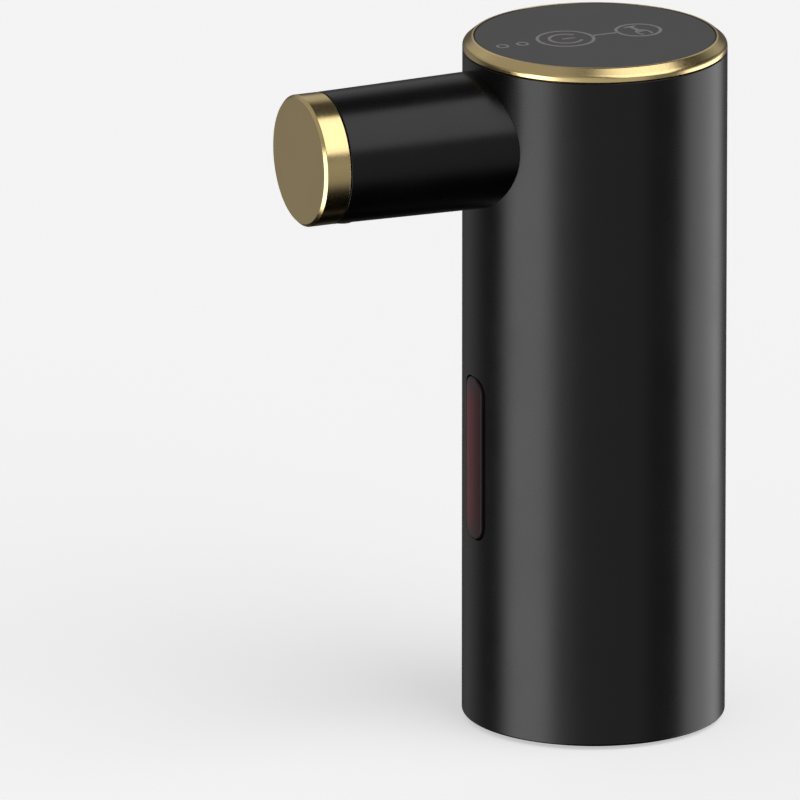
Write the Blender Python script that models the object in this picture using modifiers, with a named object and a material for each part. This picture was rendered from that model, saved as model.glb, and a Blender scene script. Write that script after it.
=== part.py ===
"""Rechargeable dispenser that stands over a bottle's neck and pours through a level spout.

Every dimension is in millimetres and is turned into metres by MM where a mesh is made.
All pieces hang on one empty that stands on the body's vertical axis, so positions below
are measured from that axis: X to the right, Y to the back (the spout points to -Y), Z up.
"""
import math

import bmesh
import bpy
from mathutils import Matrix, Vector

MM = 0.001

# ---------------------------------------------------------------- driving dimensions
BODY_R = 30.0            # outside radius of the body
BODY_H = 160.0           # foot to the top of the gold ring
WALL = 1.6               # body shell thickness
BODY_RI = BODY_R - WALL
SHELL_Z0, SHELL_Z1 = 0.8, 156.8
REACH = 73.2             # body axis to the spout's end face
AXIS_Y = (REACH - BODY_R) / 2.0   # puts the origin under the middle of the whole object

SPOUT_R = 15.0           # at the cap
SPOUT_ROOT_R = 15.6      # where the tube meets the body
SPOUT_RI = 13.4
SPOUT_Z = 138.8          # height of the spout's axis
SPOUT_END = 66.6         # where the tube stops and the cap begins
SPIGOT_R = 10.9          # the spout's neck through the body wall
SPOUT_SCREW_X = 12.7

RING_CHAMFER_Z = 158.3
RING_TOP_R = 27.9
PANEL_R = 27.2
PANEL_Z0, PANEL_Z1 = 158.7, 159.9

SLOT_W, SLOT_H, SLOT_Z = 10.7, 38.2, 63.9      # light window below the spout
SLOT_R = 3.9
LENS_W, LENS_H, LENS_R = 8.2, 37.5, 3.0
LENS_FACE_R = 30.3       # the lens stands a little proud of the wall

PORT_Z = 24.0            # charging port, at the back
FLAP_W, FLAP_H = 15.4, 8.4
FLAP_HINGE_X, FLAP_HINGE_Y = -8.3, 28.75

LINER_R0, LINER_R1 = 18.5, 16.9                # neck well, inside radius low and high
LINER_T = 1.4
DECK_Z0, DECK_Z1 = 81.3, 84.3
STOPPER_Z = 78.0         # the bottle's mouth meets the flange here
BASE_SCREW_R = 25.4

GEAR_TEETH, GEAR_M = 12, 1.0
GEAR_X, GEAR_Y = GEAR_TEETH * GEAR_M / 2.0, -3.0   # shafts at -X (drive) and +X (driven)
GEAR_Z0, GEAR_Z1 = 91.8, 99.2
CHAMBER_R = 7.15
PUMP_Z0, PUMP_Z1 = 84.6, 98.6
COVER_Z0, COVER_Z1 = 99.6, 102.1
PUMP_SCREWS = [(13.0, -10.0), (-13.0, -10.0), (0.0, 10.6)]
BARB_Y = -20.5           # pump outlet

MOTOR_X, MOTOR_Y, MOTOR_R = -GEAR_X, GEAR_Y, 12.1
MOTOR_Z0, MOTOR_Z1 = 102.4, 131.0
POSTS = [(-13.0, 16.5), (19.5, -7.8)]
FRAME_Z0, FRAME_Z1 = 143.2, 145.2
CELL_X, CELL_Y, CELL_R = 13.0, 11.0, 7.1

HOSE_R, HOSE_RI, HOSE_BEND = 3.2, 2.3, 13.0
NOZZLE_Y = -62.6
NOZZLE_R = 2.7
NOZZLE_BORE_R = 1.7
BOARD_R, BOARD_Z0, BOARD_Z1 = 25.2, 152.9, 154.1
ICON_Y = (-7.1, 11.0)    # middles of the two touch icons
LIGHT_Y = (-22.6, -17.7)  # the two small light rings

SEG_BIG, SEG_RING, SEG_MID, SEG_SMALL = 40, 32, 20, 10

# ---------------------------------------------------------------- scene set-up
for ob in list(bpy.data.objects):
    bpy.data.objects.remove(ob, do_unlink=True)

parts = bpy.data.collections.new("wine_dispenser")
cutters = bpy.data.collections.new("cutters")
bpy.context.scene.collection.children.link(parts)
bpy.context.scene.collection.children.link(cutters)

axis = bpy.data.objects.new("body_axis", None)
axis.location = (0.0, AXIS_Y * MM, 0.0)
parts.objects.link(axis)


def finish(name, color, roughness, metallic=0.0, transmission=0.0):
    m = bpy.data.materials.new(name)
    m.use_nodes = True
    b = m.node_tree.nodes["Principled BSDF"]
    b.inputs["Base Color"].default_value = (*color, 1.0)
    b.inputs["Roughness"].default_value = roughness
    b.inputs["Metallic"].default_value = metallic
    b.inputs["Transmission Weight"].default_value = transmission
    m.diffuse_color = (*color, 1.0)
    return m


BLACK = finish("satin_black", (0.018, 0.018, 0.019), 0.34)
GOLD = finish("brushed_gold", (0.62, 0.47, 0.22), 0.28, 1.0)
PANEL = finish("panel_gloss", (0.055, 0.052, 0.056), 0.10)
RED = finish("smoked_red", (0.16, 0.02, 0.03), 0.22, 0.0, 0.3)
SOFT_BLACK = finish("soft_black", (0.022, 0.022, 0.022), 0.80)
SILICONE = finish("clear_silicone", (0.62, 0.60, 0.56), 0.55)
INNER = finish("grey_moulding", (0.20, 0.20, 0.21), 0.60)
PUMP = finish("white_moulding", (0.74, 0.74, 0.72), 0.50)
GEAR = finish("gear_resin", (0.80, 0.76, 0.64), 0.45)
STEEL = finish("steel", (0.58, 0.58, 0.57), 0.30, 1.0)
ZINC = finish("zinc_plate", (0.50, 0.50, 0.52), 0.38, 1.0)
MAGNET = finish("ferrite", (0.05, 0.05, 0.055), 0.75)
LAMINATION = finish("lamination_steel", (0.28, 0.28, 0.30), 0.45, 1.0)
COPPER = finish("enamelled_copper", (0.55, 0.21, 0.09), 0.30, 1.0)
BRASS = finish("brass", (0.66, 0.50, 0.22), 0.30, 1.0)
BOARD = finish("board_green", (0.02, 0.14, 0.07), 0.45)
CELL = finish("cell_sleeve", (0.05, 0.16, 0.34), 0.35)
PIPE = finish("light_pipe", (0.85, 0.85, 0.85), 0.15, 0.0, 0.7)
LEAD_RED = finish("lead_red", (0.45, 0.03, 0.03), 0.50)
LEAD_BLACK = finish("lead_black", (0.03, 0.03, 0.03), 0.50)
LEAD_WHITE = finish("lead_white", (0.72, 0.72, 0.70), 0.50)

# a turned piece along the spout: its local +Z points to -Y (out of the body)
ALONG_SPOUT = (math.radians(90.0), 0.0, 0.0)


# ---------------------------------------------------------------- shape helpers
def place(ob, loc, rot=(0.0, 0.0, 0.0)):
    ob.location = Vector(loc) * MM
    ob.rotation_euler = rot
    ob.parent = axis
    return ob


def shade(ob, angle=32.0):
    ob.data.shade_smooth()
    ob.data.set_sharp_from_angle(angle=math.radians(angle))


def keep(ob, mat, smooth=True):
    parts.objects.link(ob)
    ob.data.materials.clear()
    ob.data.materials.append(mat)
    if smooth and ob.type == "MESH":
        shade(ob)
    return ob


def cutter(ob):
    cutters.objects.link(ob)
    ob.hide_render = True
    ob.display_type = "WIRE"
    return ob


def turned(name, profile, segs, loc=(0, 0, 0), rot=(0, 0, 0), closed=None):
    """Turned solid: the profile (radius, height) runs down its outer side.

    A profile that starts and ends on the axis is left open; any other is closed to a ring.
    """
    pts = [(r * MM, 0.0, z * MM) for r, z in profile]
    if closed is None:
        closed = not (profile[0][0] == 0 and profile[-1][0] == 0)
    edges = [(i, i + 1) for i in range(len(pts) - 1)]
    if closed:
        edges.append((len(pts) - 1, 0))
    me = bpy.data.meshes.new(name)
    me.from_pydata(pts, edges, [])
    ob = bpy.data.objects.new(name, me)
    s = ob.modifiers.new("turn", "SCREW")
    s.axis = "Z"
    s.angle = math.tau
    s.steps = s.render_steps = segs
    s.use_merge_vertices = True
    s.merge_threshold = 0.000001
    s.use_smooth_shade = True
    return place(ob, loc, rot)


def block(name, lo, hi):
    """Box between two corners."""
    me = bpy.data.meshes.new(name)
    bm = bmesh.new()
    bmesh.ops.create_cube(bm, size=1.0)
    size = [(b - a) * MM for a, b in zip(lo, hi)]
    bmesh.ops.scale(bm, vec=size, verts=bm.verts)
    bm.to_mesh(me)
    bm.free()
    ob = bpy.data.objects.new(name, me)
    return place(ob, [(a + b) / 2 for a, b in zip(lo, hi)])


def rod(name, r, z0, z1, x=0.0, y=0.0, segs=16):
    """Upright cylinder."""
    me = bpy.data.meshes.new(name)
    bm = bmesh.new()
    bmesh.ops.create_cone(bm, cap_ends=True, segments=segs, radius1=r * MM, radius2=r * MM,
                          depth=(z1 - z0) * MM)
    bm.to_mesh(me)
    bm.free()
    ob = bpy.data.objects.new(name, me)
    return place(ob, (x, y, (z0 + z1) / 2))


def rod_y(name, r, y0, y1, x=0.0, z=0.0, segs=32):
    """Level cylinder along Y."""
    ob = rod(name, r, 0.0, abs(y1 - y0), segs=segs)
    ob.location = Vector((x, (y0 + y1) / 2, z)) * MM
    ob.rotation_euler = ALONG_SPOUT
    return ob


def as_mesh(ob):
    """Mesh copy of a curve object, with its caps welded on."""
    bpy.context.view_layer.update()
    cutters.objects.link(ob)
    dg = bpy.context.evaluated_depsgraph_get()
    dg.update()
    me = bpy.data.meshes.new_from_object(ob.evaluated_get(dg))
    bm = bmesh.new()
    bm.from_mesh(me)
    bmesh.ops.remove_doubles(bm, verts=bm.verts, dist=0.000001)
    bmesh.ops.recalc_face_normals(bm, faces=bm.faces)
    bm.to_mesh(me)
    bm.free()
    name = ob.name
    new = bpy.data.objects.new(name + "_m", me)
    new.parent = ob.parent
    new.location = ob.location.copy()
    new.rotation_euler = ob.rotation_euler.copy()
    bpy.data.objects.remove(ob, do_unlink=True)
    new.name = name
    return new


def flat(name, outline, z0, z1, holes=(), loc=(0, 0), rot=(0, 0, 0)):
    """Flat piece from a closed outline, as a mesh. Holes are further outlines."""
    cu = bpy.data.curves.new(name, "CURVE")
    cu.dimensions = "2D"
    cu.fill_mode = "BOTH"
    cu.extrude = (z1 - z0) / 2 * MM
    for loop in (outline, *holes):
        sp = cu.splines.new("POLY")
        sp.points.add(len(loop) - 1)
        for p, (x, y) in zip(sp.points, loop):
            p.co = (x * MM, y * MM, 0.0, 1.0)
        sp.use_cyclic_u = True
    ob = bpy.data.objects.new(name, cu)
    place(ob, (loc[0], loc[1], (z0 + z1) / 2), rot)
    return as_mesh(ob)


def wire(name, points, r, cyclic=False, loc=(0, 0, 0), caps=True):
    """Round wire along points."""
    cu = bpy.data.curves.new(name, "CURVE")
    cu.dimensions = "3D"
    cu.bevel_depth = r * MM
    cu.bevel_resolution = 2
    cu.use_fill_caps = caps and not cyclic
    sp = cu.splines.new("POLY")
    sp.points.add(len(points) - 1)
    for p, c in zip(sp.points, points):
        p.co = (c[0] * MM, c[1] * MM, c[2] * MM, 1.0)
    sp.use_cyclic_u = cyclic
    ob = bpy.data.objects.new(name, cu)
    return place(ob, loc)


def smooth_path(route, n):
    """Catmull-Rom curve through the route's own points, read at n places."""
    pts = [Vector(p) for p in route]
    ext = [pts[0] * 2 - pts[1]] + pts + [pts[-1] * 2 - pts[-2]]
    out = []
    spans = len(pts) - 1
    for i in range(n):
        t = i * spans / (n - 1)
        k = min(int(t), spans - 1)
        u = t - k
        a, b, c, d = ext[k:k + 4]
        out.append(tuple(0.5 * (2 * b + (c - a) * u + (2 * a - 5 * b + 4 * c - d) * u * u
                                + (3 * b - a - 3 * c + d) * u ** 3)))
    return out


def coil(r, turns, z0, z1, per_turn=8):
    """Points of a coil with a flat end turn at each end."""
    n = int(turns * per_turn)
    pts = []
    for i in range(n + 1):
        t = i / n
        a = math.tau * turns * t
        s = min(max((t * turns - 0.5) / (turns - 1.0), 0.0), 1.0)
        pts.append((r * math.cos(a), r * math.sin(a), z0 + (z1 - z0) * s))
    return pts


def arc_points(cx, cy, r, a0, a1, n):
    return [(cx + r * math.cos(math.radians(a0 + (a1 - a0) * i / n)),
             cy + r * math.sin(math.radians(a0 + (a1 - a0) * i / n))) for i in range(n + 1)]


def stadium(w, h, n=8):
    """Upright rounded slot, w wide and h high (w < h), or level one where w > h."""
    if w <= h:
        r, c = w / 2, h / 2 - w / 2
        return arc_points(0, c, r, 0, 180, n) + arc_points(0, -c, r, 180, 360, n)
    r, c = h / 2, w / 2 - h / 2
    return arc_points(c, 0, r, -90, 90, n) + arc_points(-c, 0, r, 90, 270, n)


def rounded_rect(w, h, r, n=3):
    out = []
    for cx, cy, a in ((w / 2 - r, h / 2 - r, 0), (-w / 2 + r, h / 2 - r, 90),
                      (-w / 2 + r, -h / 2 + r, 180), (w / 2 - r, -h / 2 + r, 270)):
        out += arc_points(cx, cy, r, a, a + 90, n)
    return out


def wall_prism(name, outline, y0, y1, z, x=0.0):
    """Outline drawn in X-Z and extruded along Y, between y0 and y1."""
    ob = flat(name, outline, 0.0, abs(y1 - y0), rot=ALONG_SPOUT)
    ob.location = Vector((x, (y0 + y1) / 2, z)) * MM
    return ob


def boolean(ob, other, op="DIFFERENCE", name="cut"):
    b = ob.modifiers.new(name, "BOOLEAN")
    b.operation = op
    b.object = other
    b.solver = "EXACT"
    return ob


def band(name, r0, r1, z0, z1, segs=80):
    """Upright ring."""
    return turned(name, [(r1, z1), (r1, z0), (r0, z0), (r0, z1)], segs)


def gear_outline(teeth, m, pressure, add, ded, thin, phase, steps=3):
    """Involute gear outline; thin is the share of tooth thickness taken off for backlash."""
    rp = m * teeth / 2
    rb = rp * math.cos(math.radians(pressure))
    ra, rr = rp + add * m, rp - ded * m

    def inv(r):
        t = math.sqrt(max((r / rb) ** 2 - 1, 0.0))
        return t - math.atan(t)

    half = math.pi / (2 * teeth) * (1 - thin) + inv(rp)
    r0 = max(rr, rb)
    out = []
    for k in range(teeth):
        c = phase + math.tau * k / teeth
        flank = [r0 + (ra - r0) * i / (steps - 1) for i in range(steps)]
        left = [(r, c - (half - inv(r))) for r in flank]
        right = [(r, c + (half - inv(r))) for r in reversed(flank)]
        if rr < r0 - 1e-9:
            left.insert(0, (rr, left[0][1]))
            right.append((rr, right[-1][1]))
        out += left + right
    return [(r * math.cos(a), r * math.sin(a)) for r, a in out]


def circle(cx, cy, r, n):
    return [(cx + r * math.cos(math.tau * i / n), cy + r * math.sin(math.tau * i / n))
            for i in range(n)]


def screw_profile(z_tip, z_head, z_end, r_shank, r_head):
    """Pan-head screw standing tip up."""
    return [(0, z_tip), (r_shank, z_tip - 0.4), (r_shank, z_head), (r_head, z_head),
            (r_head, z_end), (0, z_end)]


# ---------------------------------------------------------------- base and neck well
foot = turned("foot_ring", [(27.3, 1.5), (27.3, 0.4), (26.9, 0.0), (23.0, 0.0), (22.6, 0.4),
                            (22.6, 1.5)], SEG_RING)
keep(foot, SOFT_BLACK)

BASE_SCREW_A = (30.0, 150.0, 270.0)
plate = turned("base_plate", [(28.0, 4.4), (28.0, 1.8), (18.0, 1.8), (17.2, 2.6), (17.2, 4.4)], SEG_RING)
keep(plate, BLACK)
for i, a in enumerate(BASE_SCREW_A):
    x = BASE_SCREW_R * math.cos(math.radians(a))
    y = BASE_SCREW_R * math.sin(math.radians(a))
    hole = cutter(turned("base_screw_hole_%d" % (i + 1),
                         [(0, 5.0), (1.35, 5.0), (1.35, 3.2), (2.3, 3.2), (2.3, 1.0), (0, 1.0)],
                         SEG_SMALL, (x, y, 0)))
    boolean(plate, hole)
    keep(turned("base_screw_%d" % (i + 1), screw_profile(10.5, 2.9, 1.9, 1.0, 1.9), 10, (x, y, 0)),
         ZINC)

liner = turned("neck_liner", [(23.8, 81.0), (23.8, 79.2), (LINER_R1 + LINER_T, 79.2),
                              (LINER_R0 + LINER_T, 4.7), (LINER_R0, 4.7), (LINER_R1, 81.0)], SEG_RING)
keep(liner, INNER)

grip = turned("neck_grip_ring", [(18.0, 11.7), (18.0, 4.7), (16.6, 4.7), (15.4, 6.0), (16.6, 7.4),
                                 (15.4, 8.8), (16.6, 10.2), (16.6, 11.7)], 28)
keep(grip, SOFT_BLACK)

stopper = turned("bottle_stopper", [
    (16.2, 81.0), (16.2, STOPPER_Z), (9.9, STOPPER_Z), (9.8, 75.5), (9.1, 74.0), (9.6, 70.5),
    (8.9, 69.0), (9.3, 65.0), (8.6, 63.5), (9.0, 60.5), (7.4, 58.0), (3.3, 58.0), (3.3, 81.0)], 24)
keep(stopper, SILICONE)
boolean(stopper, cutter(rod("vent_hole", 1.6, 57.0, 82.0, 6.0, 0.0, 12)))
boolean(stopper, cutter(block("vent_groove", (5.0, -1.2, 79.9), (17.5, 1.2, 82.0))))

keep(turned("air_valve", [(1.3, 79.4), (1.3, 67.2), (0.9, 66.0), (0.55, 66.0), (0.55, 79.4)], 10,
            (6.0, 0, 0)), SOFT_BLACK)

keep(turned("suction_nipple", [(3.0, 88.9), (3.0, 57.0), (3.5, 56.0), (2.9, 53.8), (3.5, 52.8),
                               (2.9, 50.0), (2.0, 50.0), (2.0, 88.9)], 14), STEEL)

# ---------------------------------------------------------------- deck, posts, upper frame
deck = rod("deck", 28.0, DECK_Z0, DECK_Z1, segs=SEG_RING)
keep(deck, INNER)
boolean(deck, cutter(rod("deck_nipple_hole", 3.4, 80.0, 86.0, segs=14)))
boolean(deck, cutter(block("deck_light_notch", (-8.0, -30.0, 80.0), (8.0, -24.2, 86.0))))
boolean(deck, cutter(block("deck_lead_notch", (-6.0, 24.0, 80.0), (6.0, 30.0, 86.0))))
for i, (x, y) in enumerate(PUMP_SCREWS):
    boolean(deck, cutter(rod("deck_screw_hole_%d" % (i + 1), 1.3, 80.0, 86.0, x, y, 10)))
for i, (x, y) in enumerate(POSTS):
    hole = cutter(rod("post_hole_%d" % (i + 1), 1.4, 78.0, 86.0, x, y, 10))
    boolean(deck, hole)
    boolean(liner, hole)
    keep(turned("frame_post_%d" % (i + 1), [
        (0, 144.9), (1.0, 144.9), (1.0, 142.9), (2.2, 142.9), (2.2, 84.6), (1.0, 84.6),
        (1.0, 79.6), (0, 79.6)], 10, (x, y, 0)), ZINC)

frame = rod("upper_frame", 27.9, FRAME_Z0, FRAME_Z1, segs=SEG_RING)
keep(frame, INNER)
motor_collar = cutter(rod("motor_collar", 13.9, 131.6, FRAME_Z0 + 0.4, MOTOR_X, MOTOR_Y, 24))
cell_collar = cutter(rod("cell_collar", 8.8, 134.0, 148.0, CELL_X, CELL_Y, 18))
boolean(frame, motor_collar, "UNION", "collar")
boolean(frame, cell_collar, "UNION", "collar")
boolean(frame, cutter(rod("motor_collar_bore", 12.45, 130.0, FRAME_Z0 - 0.6, MOTOR_X, MOTOR_Y, 24)))
boolean(frame, cutter(rod("cell_collar_bore", 7.5, 133.0, 149.0, CELL_X, CELL_Y, 18)))
boolean(frame, cutter(block("frame_front_notch", (-17.0, -30.0, 140.0), (17.0, -19.0, 150.0))))
boolean(frame, cutter(block("frame_back_notch", (-8.0, 20.4, 140.0), (8.0, 30.0, 150.0))))
boolean(frame, cutter(rod("frame_motor_lead_hole", 2.2, 140.0, 147.0, -10.0, 0.0, 12)))
boolean(frame, cutter(rod("frame_light_lead_hole", 2.4, 140.0, 147.0, -23.2, -8.4, 12)))
for i, (x, y) in enumerate(POSTS):
    boolean(frame, cutter(rod("frame_post_hole_%d" % (i + 1), 1.4, 141.0, 147.0, x, y, 10)))

# ---------------------------------------------------------------- gear pump
PUMP_OUTLINE = [(-16, -11), (-14, -12.8), (-5.5, -13.1), (-5.5, -23.5), (-4, -25), (4, -25),
                (5.5, -23.5), (5.5, -13.1), (14, -12.8), (16, -11), (16, 6), (14, 7.8), (3.5, 8.1),
                (3.5, 12.6), (2.5, 13.6), (-2.5, 13.6), (-3.5, 12.6), (-3.5, 8.1), (-14, 7.8),
                (-16, 6)]

pump = flat("pump_body", PUMP_OUTLINE, PUMP_Z0, PUMP_Z1)
keep(pump, PUMP)
cover = flat("pump_cover", PUMP_OUTLINE, COVER_Z0, COVER_Z1)
keep(cover, PUMP)
gasket = flat("pump_gasket", PUMP_OUTLINE, 98.9, 99.3)
keep(gasket, SOFT_BLACK)

for side, x in (("drive", -GEAR_X), ("driven", GEAR_X)):
    chamber = cutter(rod("%s_chamber" % side, CHAMBER_R, 91.5, 99.5, x, GEAR_Y, 24))
    boolean(pump, chamber)
    boolean(gasket, chamber)
boolean(pump, cutter(rod("nipple_socket", 3.3, 83.0, 89.2, segs=14)))
boolean(pump, cutter(block("inlet_pocket", (-2.0, -1.4, 87.5), (2.0, 5.0, 97.0))))
boolean(pump, cutter(block("outlet_pocket", (-2.0, -22.5, 93.0), (2.0, -5.6, 97.0))))
outlet_up = cutter(rod("outlet_up", 1.5, 95.0, 99.45, 0.0, BARB_Y, 12))
boolean(pump, outlet_up)
boolean(gasket, outlet_up)
boolean(pump, cutter(rod("drive_journal_bore", 1.3, 88.6, 92.0, -GEAR_X, GEAR_Y, 12)))
boolean(pump, cutter(rod("driven_journal_bore", 1.8, 88.6, 92.0, GEAR_X, GEAR_Y, 12)))

barb = cutter(turned("outlet_barb", [(0, 110.0), (1.7, 110.0), (2.05, 108.6), (1.8, 108.4),
                                     (1.8, 101.6), (0, 101.6)], 12, (0, BARB_Y, 0)))
boolean(cover, barb, "UNION", "barb")
boolean(cover, cutter(rod("barb_bore", 1.1, 98.0, 112.0, 0.0, BARB_Y, 12)))
boolean(cover, cutter(rod("shaft_clearance", 1.4, 98.0, 103.0, -GEAR_X, GEAR_Y, 12)))
boolean(cover, cutter(rod("seal_pocket", 3.3, 100.5, 103.0, -GEAR_X, GEAR_Y, 16)))
boolean(cover, cutter(rod("cover_journal_bore", 1.8, 98.0, 101.3, GEAR_X, GEAR_Y, 12)))
for i, (x, y) in enumerate(PUMP_SCREWS):
    hole = cutter(turned("pump_screw_hole_%d" % (i + 1), [
        (0, 103.0), (2.3, 103.0), (2.3, 100.7), (1.3, 100.7), (1.3, 84.0), (0, 84.0)],
        SEG_SMALL, (x, y, 0)))
    for piece in (pump, gasket, cover):
        boolean(piece, hole)
    keep(turned("pump_screw_%d" % (i + 1), [
        (0, 102.0), (1.9, 102.0), (1.9, 101.0), (1.0, 101.0), (1.0, 82.6), (0, 82.2)], 10,
        (x, y, 0)), ZINC)
keep(turned("shaft_seal", [(3.0, 102.0), (3.0, 100.8), (1.3, 100.8), (1.3, 102.0)], 14,
            (-GEAR_X, GEAR_Y, 0)), SOFT_BLACK)

drive = flat("drive_gear", gear_outline(GEAR_TEETH, GEAR_M, 25, 0.85, 1.15, 0.12, 0.0),
             GEAR_Z0, GEAR_Z1, holes=[circle(0, 0, 1.3, 12)], loc=(-GEAR_X, GEAR_Y))
keep(drive, GEAR)
driven = flat("driven_gear", gear_outline(GEAR_TEETH, GEAR_M, 25, 0.85, 1.15, 0.12,
                                          math.pi + math.pi / GEAR_TEETH),
              GEAR_Z0, GEAR_Z1, loc=(GEAR_X, GEAR_Y))
keep(driven, GEAR)
boolean(driven, cutter(rod("driven_journals", 1.5, 88.9, 101.0, GEAR_X, GEAR_Y, 12)), "UNION",
        "journals")

# ---------------------------------------------------------------- motor
M = (MOTOR_X, MOTOR_Y, 0)
keep(turned("motor_can", [(MOTOR_R, MOTOR_Z1), (MOTOR_R, MOTOR_Z0 + 0.6), (MOTOR_R - 0.6, MOTOR_Z0),
                          (1.3, MOTOR_Z0), (1.3, 103.7), (11.2, 103.7), (11.2, MOTOR_Z1)], 24, M),
     ZINC)
keep(turned("motor_end_bell", [(11.4, 134.3), (MOTOR_R, 133.6), (MOTOR_R, 131.3), (10.9, 131.3),
                               (10.9, 128.6), (1.3, 128.6), (1.3, 134.3)], 24, M), PUMP)
keep(turned("motor_shaft", [(0, 135.6), (1.0, 135.3), (1.0, 88.9), (0, 88.9)], 10, M), STEEL)
for k in (1, -1):
    ring = turned("motor_magnet_%d" % (1 if k > 0 else 2),
                  [(10.8, 125.0), (10.8, 106.0), (9.3, 106.0), (9.3, 125.0)], 24, M)
    keep(ring, MAGNET)
    lo, hi = (3.6, 13.0) if k > 0 else (-13.0, -3.6)
    boolean(ring, cutter(block("magnet_side_%d" % (1 if k > 0 else 2),
                               (MOTOR_X + lo, MOTOR_Y - 13, 104), (MOTOR_X + hi, MOTOR_Y + 13, 127))),
            "INTERSECT", "arc")

core_outline = []
for k in range(3):
    c = 90.0 + 120.0 * k
    local = [(3.1, -1.7), (6.3, -1.7)]
    local += [(6.9 * math.cos(math.radians(a)), 6.9 * math.sin(math.radians(a))) for a in (-42, )]
    local += [(8.6 * math.cos(math.radians(a)), 8.6 * math.sin(math.radians(a)))
              for a in (-46, -28, -10, 10, 28, 46)]
    local += [(6.9 * math.cos(math.radians(a)), 6.9 * math.sin(math.radians(a))) for a in (42, )]
    local += [(6.3, 1.7), (3.1, 1.7)]
    ca, sa = math.cos(math.radians(c)), math.sin(math.radians(c))
    core_outline += [(x * ca - y * sa, x * sa + y * ca) for x, y in local]
core = flat("armature_core", core_outline, 108.5, 122.5, holes=[circle(0, 0, 1.3, 12)],
            loc=(MOTOR_X, MOTOR_Y))
keep(core, LAMINATION)
for k in range(3):
    loop = [(4.9, 2.65, -6.2), (4.9, 1.6, -8.2), (4.9, -1.6, -8.2), (4.9, -2.65, -6.2),
            (4.9, -2.65, 6.2), (4.9, -1.6, 8.2), (4.9, 1.6, 8.2), (4.9, 2.65, 6.2)]
    turn = Matrix.Rotation(math.radians(90.0 + 120.0 * k), 3, "Z")
    pts = [tuple(turn @ Vector(p)) for p in loop]
    w = as_mesh(wire("armature_winding_%d" % (k + 1), pts, 0.6, cyclic=True,
                     loc=(MOTOR_X, MOTOR_Y, 115.5)))
    keep(w, COPPER)
keep(turned("commutator", [(2.6, 128.2), (2.6, 124.9), (1.3, 124.9), (1.3, 128.2)], 12, M), COPPER)

# ---------------------------------------------------------------- battery, main board, leads
keep(turned("battery_cell", [(0, 151.2), (2.6, 151.2), (2.6, 150.3), (6.6, 150.3), (CELL_R, 149.8),
                             (CELL_R, 103.2), (6.6, 102.7), (0, 102.7)], 18, (CELL_X, CELL_Y, 0)),
     CELL)

main = rod("main_board", BOARD_R, BOARD_Z0, BOARD_Z1, segs=28)
keep(main, BOARD)
for i, (lo, hi) in enumerate([((-14, -10, 151.5), (-7, -3, 153.2)), ((2, -12, 151.2), (8, -8, 153.2)),
                              ((-16, 8, 151.6), (-11, 14, 153.2)), ((-4, -2, 150.6), (4, 2, 153.2)),
                              ((14, -8, 151.4), (19, -2, 153.2))]):
    boolean(main, cutter(block("board_part_%d" % (i + 1), lo, hi)), "UNION", "part")
for i, y in enumerate(ICON_Y):
    w = as_mesh(wire("touch_spring_%d" % (i + 1), coil(3.0, 2.5, 154.8, 158.0, 7), 0.3,
                     loc=(0, y, 0)))
    keep(w, STEEL)
pipe = rod("light_pipe", 1.3, 154.4, 158.4, 0.0, LIGHT_Y[0], 12)
keep(pipe, PIPE)
boolean(pipe, cutter(block("pipe_bridge", (-0.9, LIGHT_Y[0], 154.6), (0.9, LIGHT_Y[1], 155.6))),
        "UNION", "bridge")
boolean(pipe, cutter(rod("pipe_second", 1.3, 154.4, 158.4, 0.0, LIGHT_Y[1], 12)), "UNION", "pipe")

for name, route, n, mat in (
        ("battery_lead", [(12.0, 19.2, 104.0), (9.0, 21.6, 111.0), (5.5, 23.2, 124.0),
                          (3.2, 23.6, 143.5), (2.0, 22.0, 149.5), (1.0, 20.0, 152.3)], 12, LEAD_RED),
        ("motor_lead", [(-11.0, -1.0, 135.0), (-10.6, -0.6, 138.5), (-10.0, 0.0, 144.0),
                        (-10.0, 1.2, 149.0), (-9.6, 2.4, 152.3)], 8, LEAD_BLACK),
        ("light_lead", [(-4.0, -24.9, 83.3), (-8.0, -25.3, 88.0), (-16.6, -20.6, 98.0),
                        (-21.8, -14.6, 111.0), (-23.8, -9.6, 128.0), (-23.2, -8.4, 144.0),
                        (-20.5, -6.4, 149.5), (-18.0, -5.0, 152.3)], 16, LEAD_WHITE),
        ("charge_lead", [(5.5, 22.4, 31.8), (5.0, 24.4, 40.0), (3.4, 25.4, 58.0),
                         (0.0, 25.7, 76.0), (-2.0, 25.7, 90.0), (-5.0, 24.6, 112.0),
                         (-5.4, 24.0, 143.5), (-4.4, 22.0, 149.5), (-3.4, 20.0, 152.3)], 18,
         LEAD_WHITE)):
    keep(as_mesh(wire(name, smooth_path(route, n), 0.7)), mat)

# ---------------------------------------------------------------- hose, check valve, nozzle
hose_route = [(0, BARB_Y, z) for z in (104.0, 112.0, 120.0)]
mid_z = SPOUT_Z - HOSE_BEND
hose_route += [(0, BARB_Y - HOSE_BEND + HOSE_BEND * math.cos(math.radians(a)),
                mid_z + HOSE_BEND * math.sin(math.radians(a))) for a in (0, 18, 36, 54, 72, 90)]
hose_route += [(0, -41.5, SPOUT_Z)]
hose = as_mesh(wire("outlet_hose", hose_route, HOSE_R, caps=False))
keep(hose, SILICONE)
wall = hose.modifiers.new("hose_wall", "SOLIDIFY")
wall.thickness = (HOSE_R - HOSE_RI) * MM
wall.offset = -1.0
wall.use_even_offset = True

keep(turned("check_valve_body", [
    (1.5, 60.5), (1.5, 54.1), (4.3, 54.1), (5.0, 53.5), (5.0, 42.4), (1.8, 42.0), (1.8, 36.8),
    (1.1, 36.8), (1.1, 43.2), (2.9, 45.2), (2.9, 52.9), (0.9, 53.3), (0.9, 60.5)], 14,
    (0, 0, SPOUT_Z), ALONG_SPOUT), PUMP)

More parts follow.
